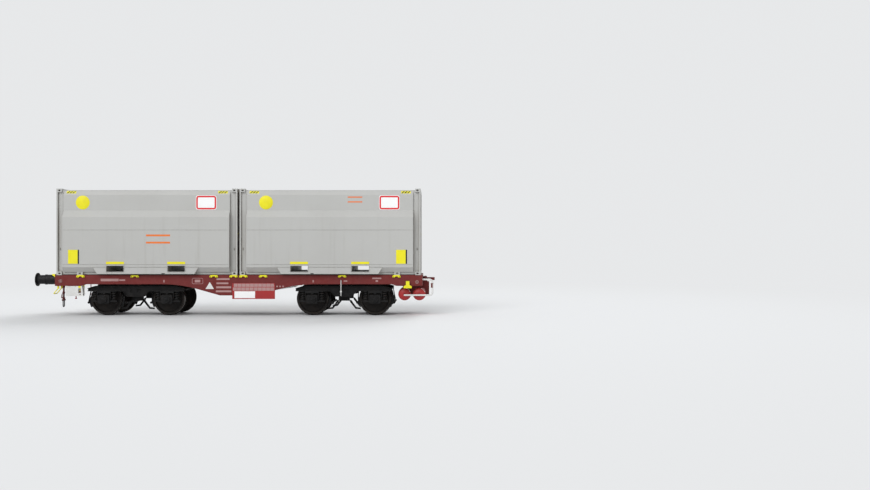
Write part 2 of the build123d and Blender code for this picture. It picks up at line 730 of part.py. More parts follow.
def wheel(side):
    """Wheel with hub, coned web, rim and flange; side is the end of the axle it sits on."""
    back = BACK_TO_BACK / 2
    front = back + RIM_WIDTH
    rim_in = WHEEL_RADIUS - RIM_DEPTH
    hub_y, rim_y = back + WEB_HUB_Y, back + WEB_RIM_Y
    hub_out, rim_out = HUB_RADIUS + HUB_FILLET, rim_in - RIM_FILLET
    half_web = WEB_THICKNESS / 2
    profile = [
        (back - HUB_OVERHANG, SEAT_RADIUS),
        (back - HUB_OVERHANG, HUB_RADIUS),
        (hub_y - half_web, hub_out),
        (rim_y - half_web, rim_out),
        (back, rim_in),
    ]
    profile += [(back + y, WHEEL_RADIUS + rise) for y, rise in FLANGE_OUTLINE]
    profile += [
        (TREAD_SPACING / 2, WHEEL_RADIUS),
        (front, WHEEL_RADIUS - TREAD_FALL),
        (front, rim_in),
        (rim_y + half_web, rim_out),
        (hub_y + half_web, hub_out),
        (front + HUB_OVERHANG, HUB_RADIUS),
        (front + HUB_OVERHANG, SEAT_RADIUS),
    ]
    return turned_y([(side * y, radius) for y, radius in profile], 0, WHEEL_RADIUS)


def axle():
    """Axle with raised wheel seats and a journal at each end."""
    seat_in = BACK_TO_BACK / 2 - HUB_OVERHANG - SEAT_SHOULDER
    seat_out = BACK_TO_BACK / 2 + RIM_WIDTH + HUB_OVERHANG
    half = [
        (seat_in - SEAT_TAPER, AXLE_RADIUS),
        (seat_in, SEAT_RADIUS),
        (seat_out, SEAT_RADIUS),
        (seat_out + JOURNAL_TAPER, JOURNAL_RADIUS),
        (AXLE_HALF_LENGTH, JOURNAL_RADIUS),
    ]
    edge = [(-y, radius) for y, radius in reversed(half)] + half
    profile = [(-AXLE_HALF_LENGTH, 0)] + edge + [(AXLE_HALF_LENGTH, 0)]
    return turned_y(profile, 0, WHEEL_RADIUS)


# Containers, drawn about their own middle; z is counted from the underside

def casting(top, outer_x, outer_y):
    """Hollow corner casting with its three apertures; outer_x and outer_y say which corner."""
    length, width, height = CASTING
    z_low = CONTAINER_HEIGHT - height if top else 0
    low_wall, high_wall = (CASTING_INNER_WALL, CASTING_WALL) if top else (CASTING_WALL, CASTING_INNER_WALL)
    corner_x, corner_y = outer_x * CONTAINER_LENGTH / 2, outer_y * CONTAINER_WIDTH / 2
    x_span = sorted((corner_x, corner_x - outer_x * length))
    y_span = sorted((corner_y, corner_y - outer_y * width))
    shape = block(x_span, y_span, (z_low, z_low + height))
    shape -= block(
        sorted((corner_x - outer_x * CASTING_WALL, corner_x - outer_x * (length - CASTING_INNER_WALL))),
        sorted((corner_y - outer_y * CASTING_WALL, corner_y - outer_y * (width - CASTING_INNER_WALL))),
        (z_low + low_wall, z_low + height - high_wall),
    )
    from_end, from_side = TOP_SLOT_AT if top else LOW_SLOT_AT
    slot_x, slot_y = corner_x - outer_x * from_end, corner_y - outer_y * from_side
    mid_z = z_low + height / 2
    side_hole = SlotOverall(SIDE_HOLE_LENGTH, SIDE_HOLE_WIDTH)
    openings = [
        Pos(slot_x, slot_y, z_low + height if top else z_low) * SlotOverall(SLOT_LENGTH, SLOT_WIDTH),
        Plane(origin=(slot_x, corner_y, mid_z), x_dir=(1, 0, 0), z_dir=(0, 1, 0)) * side_hole,
        Plane(origin=(corner_x, slot_y, mid_z), x_dir=(0, 1, 0), z_dir=(1, 0, 0)) * side_hole,
    ]
    for opening in openings:
        shape -= extrude(opening, amount=CASTING_WALL, both=True)
    return shape


def container_end(outer_x):
    """Welded end: four castings, two stepped posts, header, sill and the ribbed wall panel."""
    half_length, half_width = CONTAINER_LENGTH / 2, CONTAINER_WIDTH / 2
    length, width, height = CASTING
    post_z = (height, CONTAINER_HEIGHT - height)
    frame = Part()
    for outer_y in SIDES:
        for top in (False, True):
            frame += casting(top, outer_x, outer_y)
        strip_x = sorted((outer_x * half_length, outer_x * (half_length - POST_STRIP)))
        core_x = sorted((outer_x * half_length, outer_x * (half_length - length)))
        inner_y = outer_y * (half_width - width)
        frame += block(strip_x, sorted((outer_y * half_width, inner_y)), post_z)
        frame += block(core_x, sorted((outer_y * (half_width - POST_RECESS), inner_y)), post_z)
    panel_out = half_length - END_PANEL_SETBACK
    panel_x = sorted((outer_x * panel_out, outer_x * (panel_out - END_PANEL)))
    rail_x = sorted((outer_x * half_length, outer_x * (panel_out - END_PANEL)))
    inner_y = (width - half_width, half_width - width)
    frame += block(panel_x, inner_y, (LOW_RAIL_Z, CONTAINER_HEIGHT))
    frame += block(rail_x, inner_y, (LOW_RAIL_Z, height))
    frame += block(rail_x, inner_y, (CONTAINER_HEIGHT - height, CONTAINER_HEIGHT))
    rib_x = sorted((outer_x * panel_out, outer_x * (panel_out + END_RIB_DEPTH)))
    for step in range(END_RIBS):
        y = (step - (END_RIBS - 1) / 2) * END_RIB_PITCH
        frame += block(rib_x, about(y, END_RIB_HALF_WIDTH), post_z)
    return frame


def pocket_outer(x, reach):
    """The three spans of a pocket tube's outside."""
    z_span = (POCKET_LOW_Z - POCKET_WALL, POCKET_LOW_Z + POCKET_HEIGHT + POCKET_WALL)
    return about(x, POCKET_WIDTH / 2 + POCKET_WALL), (-reach, reach), z_span


def pocket_tube(x):
    """Fork pocket tube across the whole container, its mouths a little proud of the walls."""
    reach = CONTAINER_WIDTH / 2 + BODY_BULGE + POCKET_LIP
    hollow = block(about(x, POCKET_WIDTH / 2), (-reach, reach), (POCKET_LOW_Z, POCKET_LOW_Z + POCKET_HEIGHT))
    return block(*pocket_outer(x, reach)) - hollow


def wall_edges():
    """Far wall in section from its low rail to its top rail, as (y, z): outer face, then inner."""
    plane_y = CONTAINER_WIDTH / 2
    bulge_y = plane_y + BODY_BULGE
    slope = BODY_BULGE / (BULGE_LOW_Z - SLOPE_LOW_Z)
    shelf_z = SLOPE_LOW_Z + FOOT_SHELF
    rail_in_y = plane_y - LOW_RAIL_INSET - RAIL_WIDTH
    skirt_outer = [
        (plane_y - LOW_RAIL_INSET, LOW_RAIL_Z),
        (plane_y - LOW_RAIL_INSET, SLOPE_LOW_Z),
        (plane_y, SLOPE_LOW_Z),
        (bulge_y, BULGE_LOW_Z),
        (bulge_y, FLOOR_LOW_Z),
    ]
    panel_outer = [
        (bulge_y, FLOOR_LOW_Z),
        (bulge_y, BULGE_TOP_Z),
        (plane_y, BAND_LOW_Z),
        (plane_y, BAND_TOP_Z),
        (plane_y - TOP_RAIL_INSET, TOP_RAIL_Z - TOP_RAIL_EDGE),
        (plane_y - TOP_RAIL_INSET, TOP_RAIL_Z),
    ]
    panel_inner = [
        (plane_y - TOP_RAIL_WIDTH, TOP_RAIL_Z),
        (plane_y - TOP_RAIL_WIDTH, BAND_TOP_Z),
        (plane_y - WALL, BAND_TOP_Z - TOP_RAIL_WIDTH + WALL),
        (plane_y - WALL, BAND_LOW_Z),
        (bulge_y - WALL, BULGE_TOP_Z),
        (bulge_y - WALL, FLOOR_LOW_Z),
    ]
    skirt_inner = [
        (bulge_y - WALL, FLOOR_LOW_Z),
        (bulge_y - WALL, BULGE_LOW_Z),
        (plane_y - WALL + slope * FOOT_SHELF, shelf_z),
        (rail_in_y, shelf_z),
        (rail_in_y, LOW_RAIL_Z),
    ]
    return skirt_outer, panel_outer, panel_inner, skirt_inner


def wall_skirt(foot_end, section):
    """Low rail and slope of the far wall, with the apron and its pocket mouths, and the extra foot."""
    half_length, plane_y = CONTAINER_LENGTH / 2, CONTAINER_WIDTH / 2
    reach = plane_y + BODY_BULGE
    skirt = cross_plate(section, about(0, half_length - BODY_SETBACK - WALL))
    wedge = cross_plate(
        [(plane_y, SLOPE_LOW_Z), (plane_y, APRON_LOW_Z), (reach, APRON_LOW_Z), (reach, BULGE_LOW_Z)],
        about(0, APRON_TOP_LENGTH / 2),
    )
    half_top, half_low = APRON_TOP_LENGTH / 2, APRON_LOW_LENGTH / 2
    apron = [
        (-half_low, APRON_LOW_Z),
        (half_low, APRON_LOW_Z),
        (half_top, BULGE_LOW_Z),
        (-half_top, BULGE_LOW_Z),
    ]
    skirt += wedge & side_plate(apron, (plane_y, reach))
    foot_x = foot_end * (half_length - FOOT_FROM_END)
    skirt += block(about(foot_x, FOOT_HALF_LENGTH), (plane_y - LOW_RAIL_INSET, plane_y), (0, SLOPE_LOW_Z))
    foot_face = Plane(origin=(foot_x, plane_y, CASTING[2] / 2), x_dir=(1, 0, 0), z_dir=(0, 1, 0))
    skirt -= extrude(foot_face * SlotOverall(SIDE_HOLE_LENGTH, SIDE_HOLE_WIDTH), amount=-FOOT_HOLE_DEPTH)
    for side in SIDES:
        skirt -= block(*pocket_outer(side * POCKET_SPACING / 2, reach))
    return skirt


def wall_closer(end, outer):
    """Plate that closes one end of the far wall's bulge, and the strip from it to the post."""
    half_length, plane_y = CONTAINER_LENGTH / 2, CONTAINER_WIDTH / 2
    body, post_in = half_length - BODY_SETBACK, half_length - CASTING[0]
    recess_y = plane_y - POST_RECESS
    back_y = recess_y - WALL
    rail_y = plane_y - TOP_RAIL_WIDTH
    cap = outer + [(back_y, TOP_RAIL_Z), (back_y, LOW_RAIL_Z)]
    strip = [
        (recess_y, LOW_RAIL_Z),
        (recess_y, TOP_RAIL_Z),
        (rail_y, TOP_RAIL_Z),
        (rail_y, BAND_TOP_Z),
        (back_y, BAND_TOP_Z - TOP_RAIL_WIDTH + POST_RECESS + WALL),
        (back_y, LOW_RAIL_Z),
    ]
    closer = cross_plate(cap, (end * body, end * (body - WALL)))
    return closer + cross_plate(strip, (end * body, end * post_in))


def container_side(foot_end):
    """Far side wall: folded panel, skirt below it and a closer at each end, welded together."""
    skirt_outer, panel_outer, panel_inner, skirt_inner = wall_edges()
    panel_half = CONTAINER_LENGTH / 2 - BODY_SETBACK - WALL
    pieces = [
        cross_plate(panel_outer + panel_inner, about(0, panel_half)),
        wall_skirt(foot_end, skirt_outer + skirt_inner),
    ]
    return pieces + [wall_closer(end, skirt_outer[:-1] + panel_outer[1:]) for end in SIDES]


def container_floor():
    """Floor plate, stepped in plan where the body narrows towards the posts."""
    half_length, plane_y = CONTAINER_LENGTH / 2, CONTAINER_WIDTH / 2
    steps = [
        (half_length - BODY_SETBACK - WALL, plane_y + BODY_BULGE - WALL),
        (half_length - CASTING[0], plane_y - POST_RECESS - WALL),
        (half_length - END_PANEL_SETBACK - END_PANEL, plane_y - CASTING[1]),
    ]
    floor = Part()
    for reach, half_width in steps:
        z_span = (FLOOR_LOW_Z, FLOOR_LOW_Z + FLOOR_THICKNESS)
        floor += block((-reach, reach), (-half_width, half_width), z_span)
    return floor


def cross_members():
    """Box beams across the underside, either side of the fork pockets and towards the ends."""
    half_y = CONTAINER_WIDTH / 2 - LOW_RAIL_INSET - RAIL_WIDTH
    pocket_x = POCKET_SPACING / 2
    outer_x = pocket_x + MEMBER_PAST_POCKET
    last_x = CONTAINER_LENGTH / 2 - MEMBER_FROM_END
    half = [pocket_x - MEMBER_IN_POCKET, outer_x, (outer_x + last_x) / 2, last_x]
    z_span = (CROSS_MEMBER_LOW_Z, FLOOR_LOW_Z)
    places = [0] + [side * x for x in half for side in SIDES]
    return [block(about(x, CROSS_MEMBER_HALF_WIDTH), (-half_y, half_y), z_span) for x in places]


def save_container(number, end):
    """Write one container's nodes; end is the end of the car that it stands at."""
    place = Pos(end * (CONTAINER_LENGTH + CONTAINER_GAP) / 2, 0, DECK_TOP)
    far = container_side(end)
    pieces = {
        "end_walls": [container_end(side) for side in SIDES],
        "side_near": [far_copy(piece) for piece in far],
        "side_far": far,
        "floor": [container_floor()],
        "cross_members": cross_members(),
        "fork_pockets": [pocket_tube(side * POCKET_SPACING / 2) for side in SIDES],
    }
    for part_name, solids in pieces.items():
        save(f"container_{number}_{part_name}", *[place * solid for solid in solids])


# Container seats on the side sills

def bracket(x):
    """Near seat bracket: an arched plate on the outside of the sill."""
    half, leg = BRACKET_WIDTH / 2, BRACKET_WIDTH / 2 - BRACKET_LEG
    low, arch = DECK_TOP - BRACKET_HEIGHT, DECK_TOP - BRACKET_HEIGHT + BRACKET_ARCH
    chamfer_x, chamfer_z = BRACKET_CHAMFER
    right = [
        (leg - BRACKET_ARCH_SLOPE, arch),
        (leg, low),
        (half, low),
        (half, DECK_TOP - chamfer_z),
        (half - chamfer_x, DECK_TOP),
    ]
    left = [(-px, pz) for px, pz in reversed(right)]
    y_span = (-SILL_OUTER_Y - BRACKET_THICKNESS, -SILL_OUTER_Y)
    return side_plate([(x + px, pz) for px, pz in left + right], y_span)


def spigot(x, y):
    """Locating peg that stands up into a bottom casting's aperture."""
    outline = SlotOverall(SLOT_LENGTH - 2 * SPIGOT_GAP, SLOT_WIDTH - 2 * SPIGOT_GAP)
    return Pos(x, y, DECK_TOP) * extrude(outline, amount=SPIGOT_HEIGHT)


def container_spigots():
    """One peg under each bottom casting."""
    from_end, from_side = LOW_SLOT_AT
    pegs = []
    for offset in (from_end, CONTAINER_LENGTH - from_end):
        x, y = CONTAINER_GAP / 2 + offset, CONTAINER_WIDTH / 2 - from_side
        pegs += [spigot(end * x, side * y) for end in SIDES for side in SIDES]
    return pegs


# Ends of the car

def buffer():
    """Near buffer: base plate, sleeve, plunger and head, all turned."""
    base_x = -HEADSTOCK_X
    flange_x = base_x - BUFFER_BASE
    sleeve_x = base_x - BUFFER_SLEEVE_LENGTH
    head_x = BUFFER_FACE_X + BUFFER_HEAD_THICKNESS
    rim_x, rim_radius = BUFFER_HEAD_RIM
    profile = [
        (base_x, 0),
        (base_x, BUFFER_BASE_RADIUS),
        (flange_x, BUFFER_BASE_RADIUS),
        (flange_x, BUFFER_SLEEVE_RADIUS),
        (sleeve_x, BUFFER_SLEEVE_RADIUS),
        (sleeve_x, BUFFER_PLUNGER_RADIUS),
        (head_x, BUFFER_PLUNGER_RADIUS),
        (head_x, BUFFER_HEAD_RADIUS),
        (BUFFER_FACE_X + rim_x, BUFFER_HEAD_RADIUS),
        (BUFFER_FACE_X, BUFFER_HEAD_RADIUS - rim_radius),
        (BUFFER_FACE_X, 0),
    ]
    return turned_x(profile, -BUFFER_Y, BUFFER_Z)


def draw_hook():
    """Hook with its shank through the headstock and a guide plate behind."""
    guide_length, guide_half = HOOK_GUIDE
    guide_y = DRAFT_HALF_WIDTH - DRAFT_PLATE
    shank_x = (-HEADSTOCK_X - HOOK_SHANK_REACH, -SILL_END_X + HOOK_SHANK)
    shank = block(shank_x, about(0, HOOK_HALF), about(DRAWBAR_Z, HOOK_HALF))
    guide_x = (-SILL_END_X, -SILL_END_X + guide_length)
    guide = block(guide_x, (-guide_y, guide_y), about(DRAWBAR_Z, guide_half))
    points = [(-HEADSTOCK_X - reach, DRAWBAR_Z + rise, radius) for reach, rise, radius in HOOK_OUTLINE]
    hook = side_plate(points, about(0, HOOK_HALF - HOOK_CHEEK))
    pin_x, pin_z = -HEADSTOCK_X - LINK_PIN_REACH, DRAWBAR_Z - LINK_PIN_DROP
    bore = bar_y(pin_x, about(0, HOOK_HALF), pin_z, LINK_PIN_RADIUS + JOURNAL_CLEARANCE)
    return shank + guide + hook - bore


def screw_coupling():
    """Coupling hanging from the hook: link plates, trunnions, screw with its collars and the bow."""
    x = -HEADSTOCK_X - LINK_PIN_REACH
    pin_z = DRAWBAR_Z - LINK_PIN_DROP
    trunnion_z = pin_z - LINK_LENGTH
    plate_in, plate_out = LINK_PLATE_Y
    piece = bar_y(x, about(0, plate_out), pin_z, LINK_PIN_RADIUS)
    for z in (trunnion_z, BOW_TRUNNION_Z):
        piece += bar_y(x, about(0, TRUNNION_HALF_LENGTH), z, TRUNNION_RADIUS)
    piece += bar_z(x, 0, (BOW_TRUNNION_Z, trunnion_z), SCREW_RADIUS)
    for low_z in (BOW_TRUNNION_Z, trunnion_z - SCREW_COLLAR_LENGTH):
        piece += bar_z(x, 0, (low_z, low_z + SCREW_COLLAR_LENGTH), SCREW_COLLAR_RADIUS)
    for side in SIDES:
        y_span = sorted((side * plate_in, side * plate_out))
        piece += block(about(x, LINK_HALF_WIDTH), y_span, (trunnion_z, pin_z))
    near, far = about(0, BOW_HALF_WIDTH)
    head_y = (near - BOW_RADIUS, far + BOW_RADIUS)
    bow_head = block(about(x, BOW_HEAD_HALF), head_y, about(BOW_TRUNNION_Z, BOW_HEAD_HALF))
    points = [
        (x, near, BOW_TRUNNION_Z),
        (x, near, BOW_LOW_Z),
        (x, far, BOW_LOW_Z),
        (x, far, BOW_TRUNNION_Z),
    ]
    return piece + bow_head + pipe(points, BOW_RADIUS, [BOW_BEND, BOW_BEND])


def drawbar():
    """Short drawbar with an eye at each end."""
    half = DRAWBAR_HALF_HEIGHT
    z_span = about(DRAWBAR_Z, half)
    shape = block((DRAWBAR_PIN_X, DRAWBAR_EYE_X), about(0, DRAWBAR_HALF_WIDTH), z_span)
    for x in (DRAWBAR_PIN_X, DRAWBAR_EYE_X):
        shape += bar_z(x, 0, z_span, DRAWBAR_EYE_RADIUS)
    shape -= bar_z(DRAWBAR_PIN_X, 0, about(DRAWBAR_Z, 2 * half), DRAWBAR_PIN_RADIUS + JOURNAL_CLEARANCE)
    shape -= bar_z(DRAWBAR_EYE_X, 0, about(DRAWBAR_Z, 2 * half), DRAWBAR_EYE_BORE)
    return shape


def drawbar_clevis():
    """Clevis on the inner headstock: two ears on a back plate, its pin, and the nose under them."""
    plate_x = (HEADSTOCK_X, HEADSTOCK_X + CLEVIS_PLATE_THICKNESS)
    ear_low = DRAWBAR_HALF_HEIGHT + CLEVIS_GAP
    ear_high = ear_low + CLEVIS_EAR
    half_y = DRAWBAR_EYE_RADIUS + CLEVIS_SIDE_ROOM
    ear_x = DRAWBAR_PIN_X + CLEVIS_EAR_REACH
    shape = block(plate_x, about(0, CLEVIS_PLATE), about(DRAWBAR_Z, CLEVIS_PLATE))
    shape -= block(plate_x, about(0, half_y), about(DRAWBAR_Z, ear_low))
    ear = [
        (plate_x[1], -half_y, 0),
        (ear_x, -half_y, CLEVIS_EAR_ROUND),
        (ear_x, half_y, CLEVIS_EAR_ROUND),
        (plate_x[1], half_y, 0),
    ]
    for side in SIDES:
        shape += level_plate(ear, sorted((DRAWBAR_Z + side * ear_low, DRAWBAR_Z + side * ear_high)))
    shape += bar_z(DRAWBAR_PIN_X, 0, about(DRAWBAR_Z, ear_high + CLEVIS_PIN_HEAD), DRAWBAR_PIN_RADIUS)
    nose_x, nose_top = HEADSTOCK_X + NOSE_REACH, DRAWBAR_Z - ear_high
    cut_x, cut_z = NOSE_CHAMFER
    nose = [
        (HEADSTOCK_X, NOSE_LOW_Z),
        (nose_x - cut_x, NOSE_LOW_Z),
        (nose_x, NOSE_LOW_Z + cut_z),
        (nose_x, nose_top),
        (HEADSTOCK_X, nose_top),
    ]
    return shape + side_plate(nose, about(0, NOSE_HALF_WIDTH))


# Fittings

def reservoir(x):
    """Air reservoir lying across the car, with domed ends."""
    near_y = RESERVOIR_NEAR_Y + RESERVOIR_DOME
    far_y = RESERVOIR_NEAR_Y + RESERVOIR_LENGTH - RESERVOIR_DOME
    shell = bar_y(x, (near_y, far_y), RESERVOIR_Z, RESERVOIR_RADIUS)
    for y, way in ((near_y, -1), (far_y, 1)):
        dome = [(y + way * depth * RESERVOIR_DOME, share * RESERVOIR_RADIUS) for depth, share in DOME_OUTLINE]
        shell += turned_y(dome, x, RESERVOIR_Z)
    return shell


def reservoir_carrier():
    """Plate under the inner headstock, and two strap bands with feet round each reservoir."""
    inner_radius = RESERVOIR_RADIUS + RUNNING_GAP
    outer_radius = inner_radius + STRAP
    plate_low = END_DEPTH_Z - CARRIER_PLATE
    plate_x = (RESERVOIR_XS[0] - CARRIER_OVERHANG, SILL_END_X)
    plate_y = (CARRIER_NEAR_Y, RESERVOIR_NEAR_Y + RESERVOIR_LENGTH)
    pieces = [block(plate_x, plate_y, (plate_low, END_DEPTH_Z))]
    for x in RESERVOIR_XS:
        for y in STRAP_YS:
            y_span = about(y, STRAP_HALF_WIDTH)
            band = block(about(x, STRAP_FOOT_HALF), y_span, (RESERVOIR_Z + inner_radius, plate_low))
            band += bar_y(x, y_span, RESERVOIR_Z, outer_radius)
            pieces.append(band - bar_y(x, y_span, RESERVOIR_Z, inner_radius))
    return pieces


def brake_pipe():
    """White pipe from the first reservoir past the headstock and up to its end cock."""
    y = RESERVOIR_NEAR_Y - PIPE_STAND_OFF
    points = [
        (RESERVOIR_XS[0], RESERVOIR_NEAR_Y, PIPE_Z),
        (RESERVOIR_XS[0], y, PIPE_Z),
        (PIPE_END_X, y, PIPE_Z),
        (PIPE_END_X, y, PIPE_TOP_Z),
        (HEADSTOCK_X, y, PIPE_TOP_Z),
    ]
    return pipe(points, PIPE_RADIUS, list(PIPE_BENDS))


def belly_pipe():
    """Near air pipe from one crossbearer, along under the belly and up to the next one."""
    y = -BELLY_PIPE_Y
    start_x, end_x = BEARER_XS[0], PIVOT_X - WHEELBASE / 2 - BEARER_WEB / 2
    rise_x = BELLY_PIPE_RISE_X
    leave_low, reach_knee, reach_high = BELLY_PIPE_KNEES
    points = [
        (start_x, y, DECK_UNDER_Z - BEARER_LOW_DEPTH),
        (start_x, y, BELLY_PIPE_LOW_Z),
        (rise_x - leave_low, y, BELLY_PIPE_LOW_Z),
        (rise_x - reach_knee, y, BELLY_PIPE_KNEE_Z),
        (rise_x - reach_high, y, BELLY_PIPE_HIGH_Z),
        (rise_x, y, BELLY_PIPE_HIGH_Z),
        (rise_x, y, BELLY_PIPE_END_Z),
        (end_x, y, BELLY_PIPE_END_Z),
    ]
    return pipe(points, BELLY_PIPE_RADIUS, [100, 300, 60, 60, 60, 60])


def changeover_box():
    """White brake changeover box under the near sill, with a window for its handle."""
    x_low, x_high = BOX_X
    y_span = (-SILL_OUTER_Y, -SILL_OUTER_Y + BOX_DEPTH)
    outline = [
        (x_low, BOX_LOW_Z, BOX_ROUND),
        (x_high, BOX_LOW_Z, BOX_ROUND),
        (x_high - BOX_SLANT, END_DEPTH_Z, 0),
        (x_low, END_DEPTH_Z, 0),
    ]
    window_y = (y_span[0], y_span[0] + BOX_WINDOW_DEPTH)
    return side_plate(outline, y_span) - block(BOX_WINDOW_X, window_y, BOX_WINDOW_Z)


def release_bar(side, inset, low_z):
    """Release bar: an upright rod under the sill with a grip across its foot."""
    x, y = inset - SILL_END_X, side * RELEASE_BAR_Y
    rod = bar_z(x, y, (low_z, END_DEPTH_Z), RELEASE_BAR_RADIUS)
    return rod + bar_y(x, about(y, RELEASE_GRIP), low_z, RELEASE_BAR_RADIUS)


def sign_board():
    """Sign board on the near sill, deeper than the sill itself."""
    return block(BOARD_X, (-SILL_OUTER_Y - BOARD_THICKNESS, -SILL_OUTER_Y), BOARD_Z)


def valve_rod():
    """White rod of a load valve, hanging from the near sill past the bogie's middle, with its clamp."""
    y = -SILL_OUTER_Y - VALVE_ROD_HALF
    rod = block(about(VALVE_ROD_X, VALVE_ROD_HALF), about(y, VALVE_ROD_HALF), VALVE_ROD_Z)
    return rod + block(about(VALVE_ROD_X, VALVE_CLAMP_HALF), about(y, VALVE_CLAMP_HALF), VALVE_CLAMP_Z)


def hand_bar():
    """Near hand bar under a buffer: a U of round bar that slopes out from the headstock's flange."""
    y_in, y_out = HAND_BAR_Y
    top_x, low_x = -HAND_BAR_TOP_X, -HAND_BAR_LOW_X
    points = [
        (top_x, -y_out, HAND_BAR_TOP_Z),
        (low_x, -y_out, HAND_BAR_LOW_Z),
        (low_x, -y_in, HAND_BAR_LOW_Z),
        (top_x, -y_in, HAND_BAR_TOP_Z),
    ]
    piece = pipe(points, HAND_BAR_RADIUS, [HAND_BAR_BEND, HAND_BAR_BEND])
    for y in HAND_BAR_Y:
        lug_z = (HAND_BAR_TOP_Z - HAND_BAR_LUG_HALF, END_DEPTH_Z)
        piece += block(about(top_x, HAND_BAR_LUG_HALF), about(-y, HAND_BAR_LUG_HALF), lug_z)
    return piece


def corner_lug():
    """Near lug at the deck's corner on the buffer end."""
    x_span = (-HEADSTOCK_X - CORNER_LUG_LENGTH, -HEADSTOCK_X)
    y_in, y_out = CORNER_LUG_Y
    low, high = CORNER_LUG_Z
    outline = [(x_span[1], low), (x_span[0], DECK_TOP), (x_span[0], high), (x_span[1], high)]
    return side_plate(outline, (-y_out, -y_in))


def handrail():
    """Yellow handrail at the far corner of the buffer end: an upright with a loop at its top."""
    x, y = RAIL_POST_X, RAIL_Y
    loop_x = x - RAIL_LOOP
    points = [
        (x, y, RAIL_LOW_Z),
        (x, y, RAIL_TOP_Z),
        (loop_x, y, RAIL_TOP_Z),
        (loop_x, y, RAIL_LOOP_Z),
        (x, y, RAIL_LOOP_Z),
    ]
    rail = pipe(points, RAIL_RADIUS, [RAIL_BEND, RAIL_BEND, RAIL_BEND])
    for z in RAIL_LUG_ZS:
        rail += block((x, -HEADSTOCK_X), (SILL_OUTER_Y - 2 * RAIL_LUG_HALF, y), about(z, RAIL_LUG_HALF))
    return rail


def corner_step():
    """White step below the same corner: a strap down from the sill and a tread."""
    strap_y = (SILL_OUTER_Y, SILL_OUTER_Y + STEP_PLATE)
    strap_z = (STEP_Z, END_DEPTH_Z + SILL_FLANGE)
    strap = block(about(STEP_STRAP_X, STEP_STRAP_HALF), strap_y, strap_z)
    tread_y = (SILL_OUTER_Y - STEP_WIDTH, SILL_OUTER_Y)
    return strap + block(STEP_X, tread_y, (STEP_Z, STEP_Z + STEP_THICKNESS))


def lifting_bracket():
    """Yellow lifting hook on the near sill by the drawbar end."""
    (x_low, x_high), (low, high) = LIFT_X, LIFT_Z
    mid = (x_low + x_high) / 2
    neck_left, neck_right = about(mid, LIFT_NECK_HALF)
    points = [
        (x_low, low),
        (x_high, low),
        (x_high, low + LIFT_FOOT),
        (neck_right, low + LIFT_NECK_RISE),
        (neck_right, high),
        (neck_left, high),
        (neck_left, low + LIFT_NECK_RISE),
        (x_low, low + LIFT_FOOT),
    ]
    return side_plate(points, (-SILL_OUTER_Y - LIFT_THICKNESS, -SILL_OUTER_Y))


def end_panel():
    """Red panel on the far sill at the drawbar end, with a slanting grab bar on its face."""
    face_y = SILL_OUTER_Y + PANEL_THICKNESS
    bar_y_out = face_y + PANEL_BAR_STAND_OFF
    (top_x, low_x), (top_z, low_z) = PANEL_BAR_X, PANEL_BAR_Z
    points = [
        (top_x, face_y, top_z),
        (top_x, bar_y_out, top_z),
        (low_x, bar_y_out, low_z),
        (low_x, face_y, low_z),
    ]
    plate = block(PANEL_X, (SILL_OUTER_Y, face_y), PANEL_Z)
    return plate, pipe(points, HAND_BAR_RADIUS, [PANEL_BAR_BEND, PANEL_BAR_BEND])


def save_underframe():
    """Write the car's own structure, its ends and the draw gear."""
    for name, near in (("side_sill", side_sill()), ("buffer", [buffer()])):
        save(f"{name}_near", *near)
        save(f"{name}_far", *[far_copy(piece) for piece in near])
    pieces = {
        "headstock_outer": [headstock(-1)],
        "headstock_inner": [headstock(1)],
        "draft_sills": [draft_sill(-1), draft_sill(1)],
        "bolsters": [bolster(-1), bolster(1)],
        "crossbearers": crossbearers(),
        "container_brackets": both_sides([bracket(end * x) for x in BRACKET_XS for end in SIDES]),
        "container_spigots": container_spigots(),
        "draw_hook": [draw_hook()],
        "screw_coupling": [screw_coupling()],
        "drawbar_clevis": [drawbar_clevis()],
        "drawbar": [drawbar()],
    }
    for name, solids in pieces.items():
        save(name, *solids)


def save_fittings():
    """Write what hangs on the underframe."""
    panel, panel_bar = end_panel()
    pieces = {
        "air_reservoirs": [reservoir(x) for x in RESERVOIR_XS],
        "reservoir_carrier": reservoir_carrier(),
        "brake_pipes": [brake_pipe()] + both_sides([belly_pipe()]),
        "changeover_box": [changeover_box()],
        "release_bars": [release_bar(*place) for place in RELEASE_BARS],
        "load_valve_rods": [valve_rod(), Rot(0, 0, 180) * valve_rod()],
        "sign_board": [sign_board()],
        "hand_bars": both_sides([hand_bar()]) + [panel_bar],
        "handrail": [handrail()],
        "corner_step": [corner_step()],
        "lifting_brackets": [lifting_bracket()] + both_sides([corner_lug()]),
        "end_panel": [panel],
    }
    for name, solids in pieces.items():
        save(name, *solids)


def save_bogie(number, end):
    """Write one bogie's nodes; end is the end of the car that it stands at."""
    axle_xs = about(0, WHEELBASE / 2)
    boxes = [axlebox(x) for x in axle_xs]
    springs = [spring(x + side * SPRING_X) for x in axle_xs for side in SIDES]
    outer_x, inner_x = end * WHEELBASE / 2, -end * WHEELBASE / 2
    brakes = [brake_set(outer_x, end), brake_set(outer_x, -end), brake_set(inner_x, end)]
    pieces = {
        "side_frames": both_sides([bogie_side_frame()]),
        "transom": [bogie_transom()],
        "end_beams": [bogie_end_beam(side) for side in SIDES],
        "axleboxes": both_sides(boxes),
        "springs": both_sides(springs),
        "brakes": brakes + brake_levers(),
    }
    for part_name, solids in pieces.items():
        save(f"bogie_{number}_{part_name}", *[moved(solid, end * PIVOT_X) for solid in solids])


def save_wheelset(number, x):
    """Write one wheelset's axle and its two wheels."""
    save(f"wheelset_{number}_axle", moved(axle(), x))
    save(f"wheelset_{number}_wheels", *[moved(wheel(side), x) for side in SIDES])


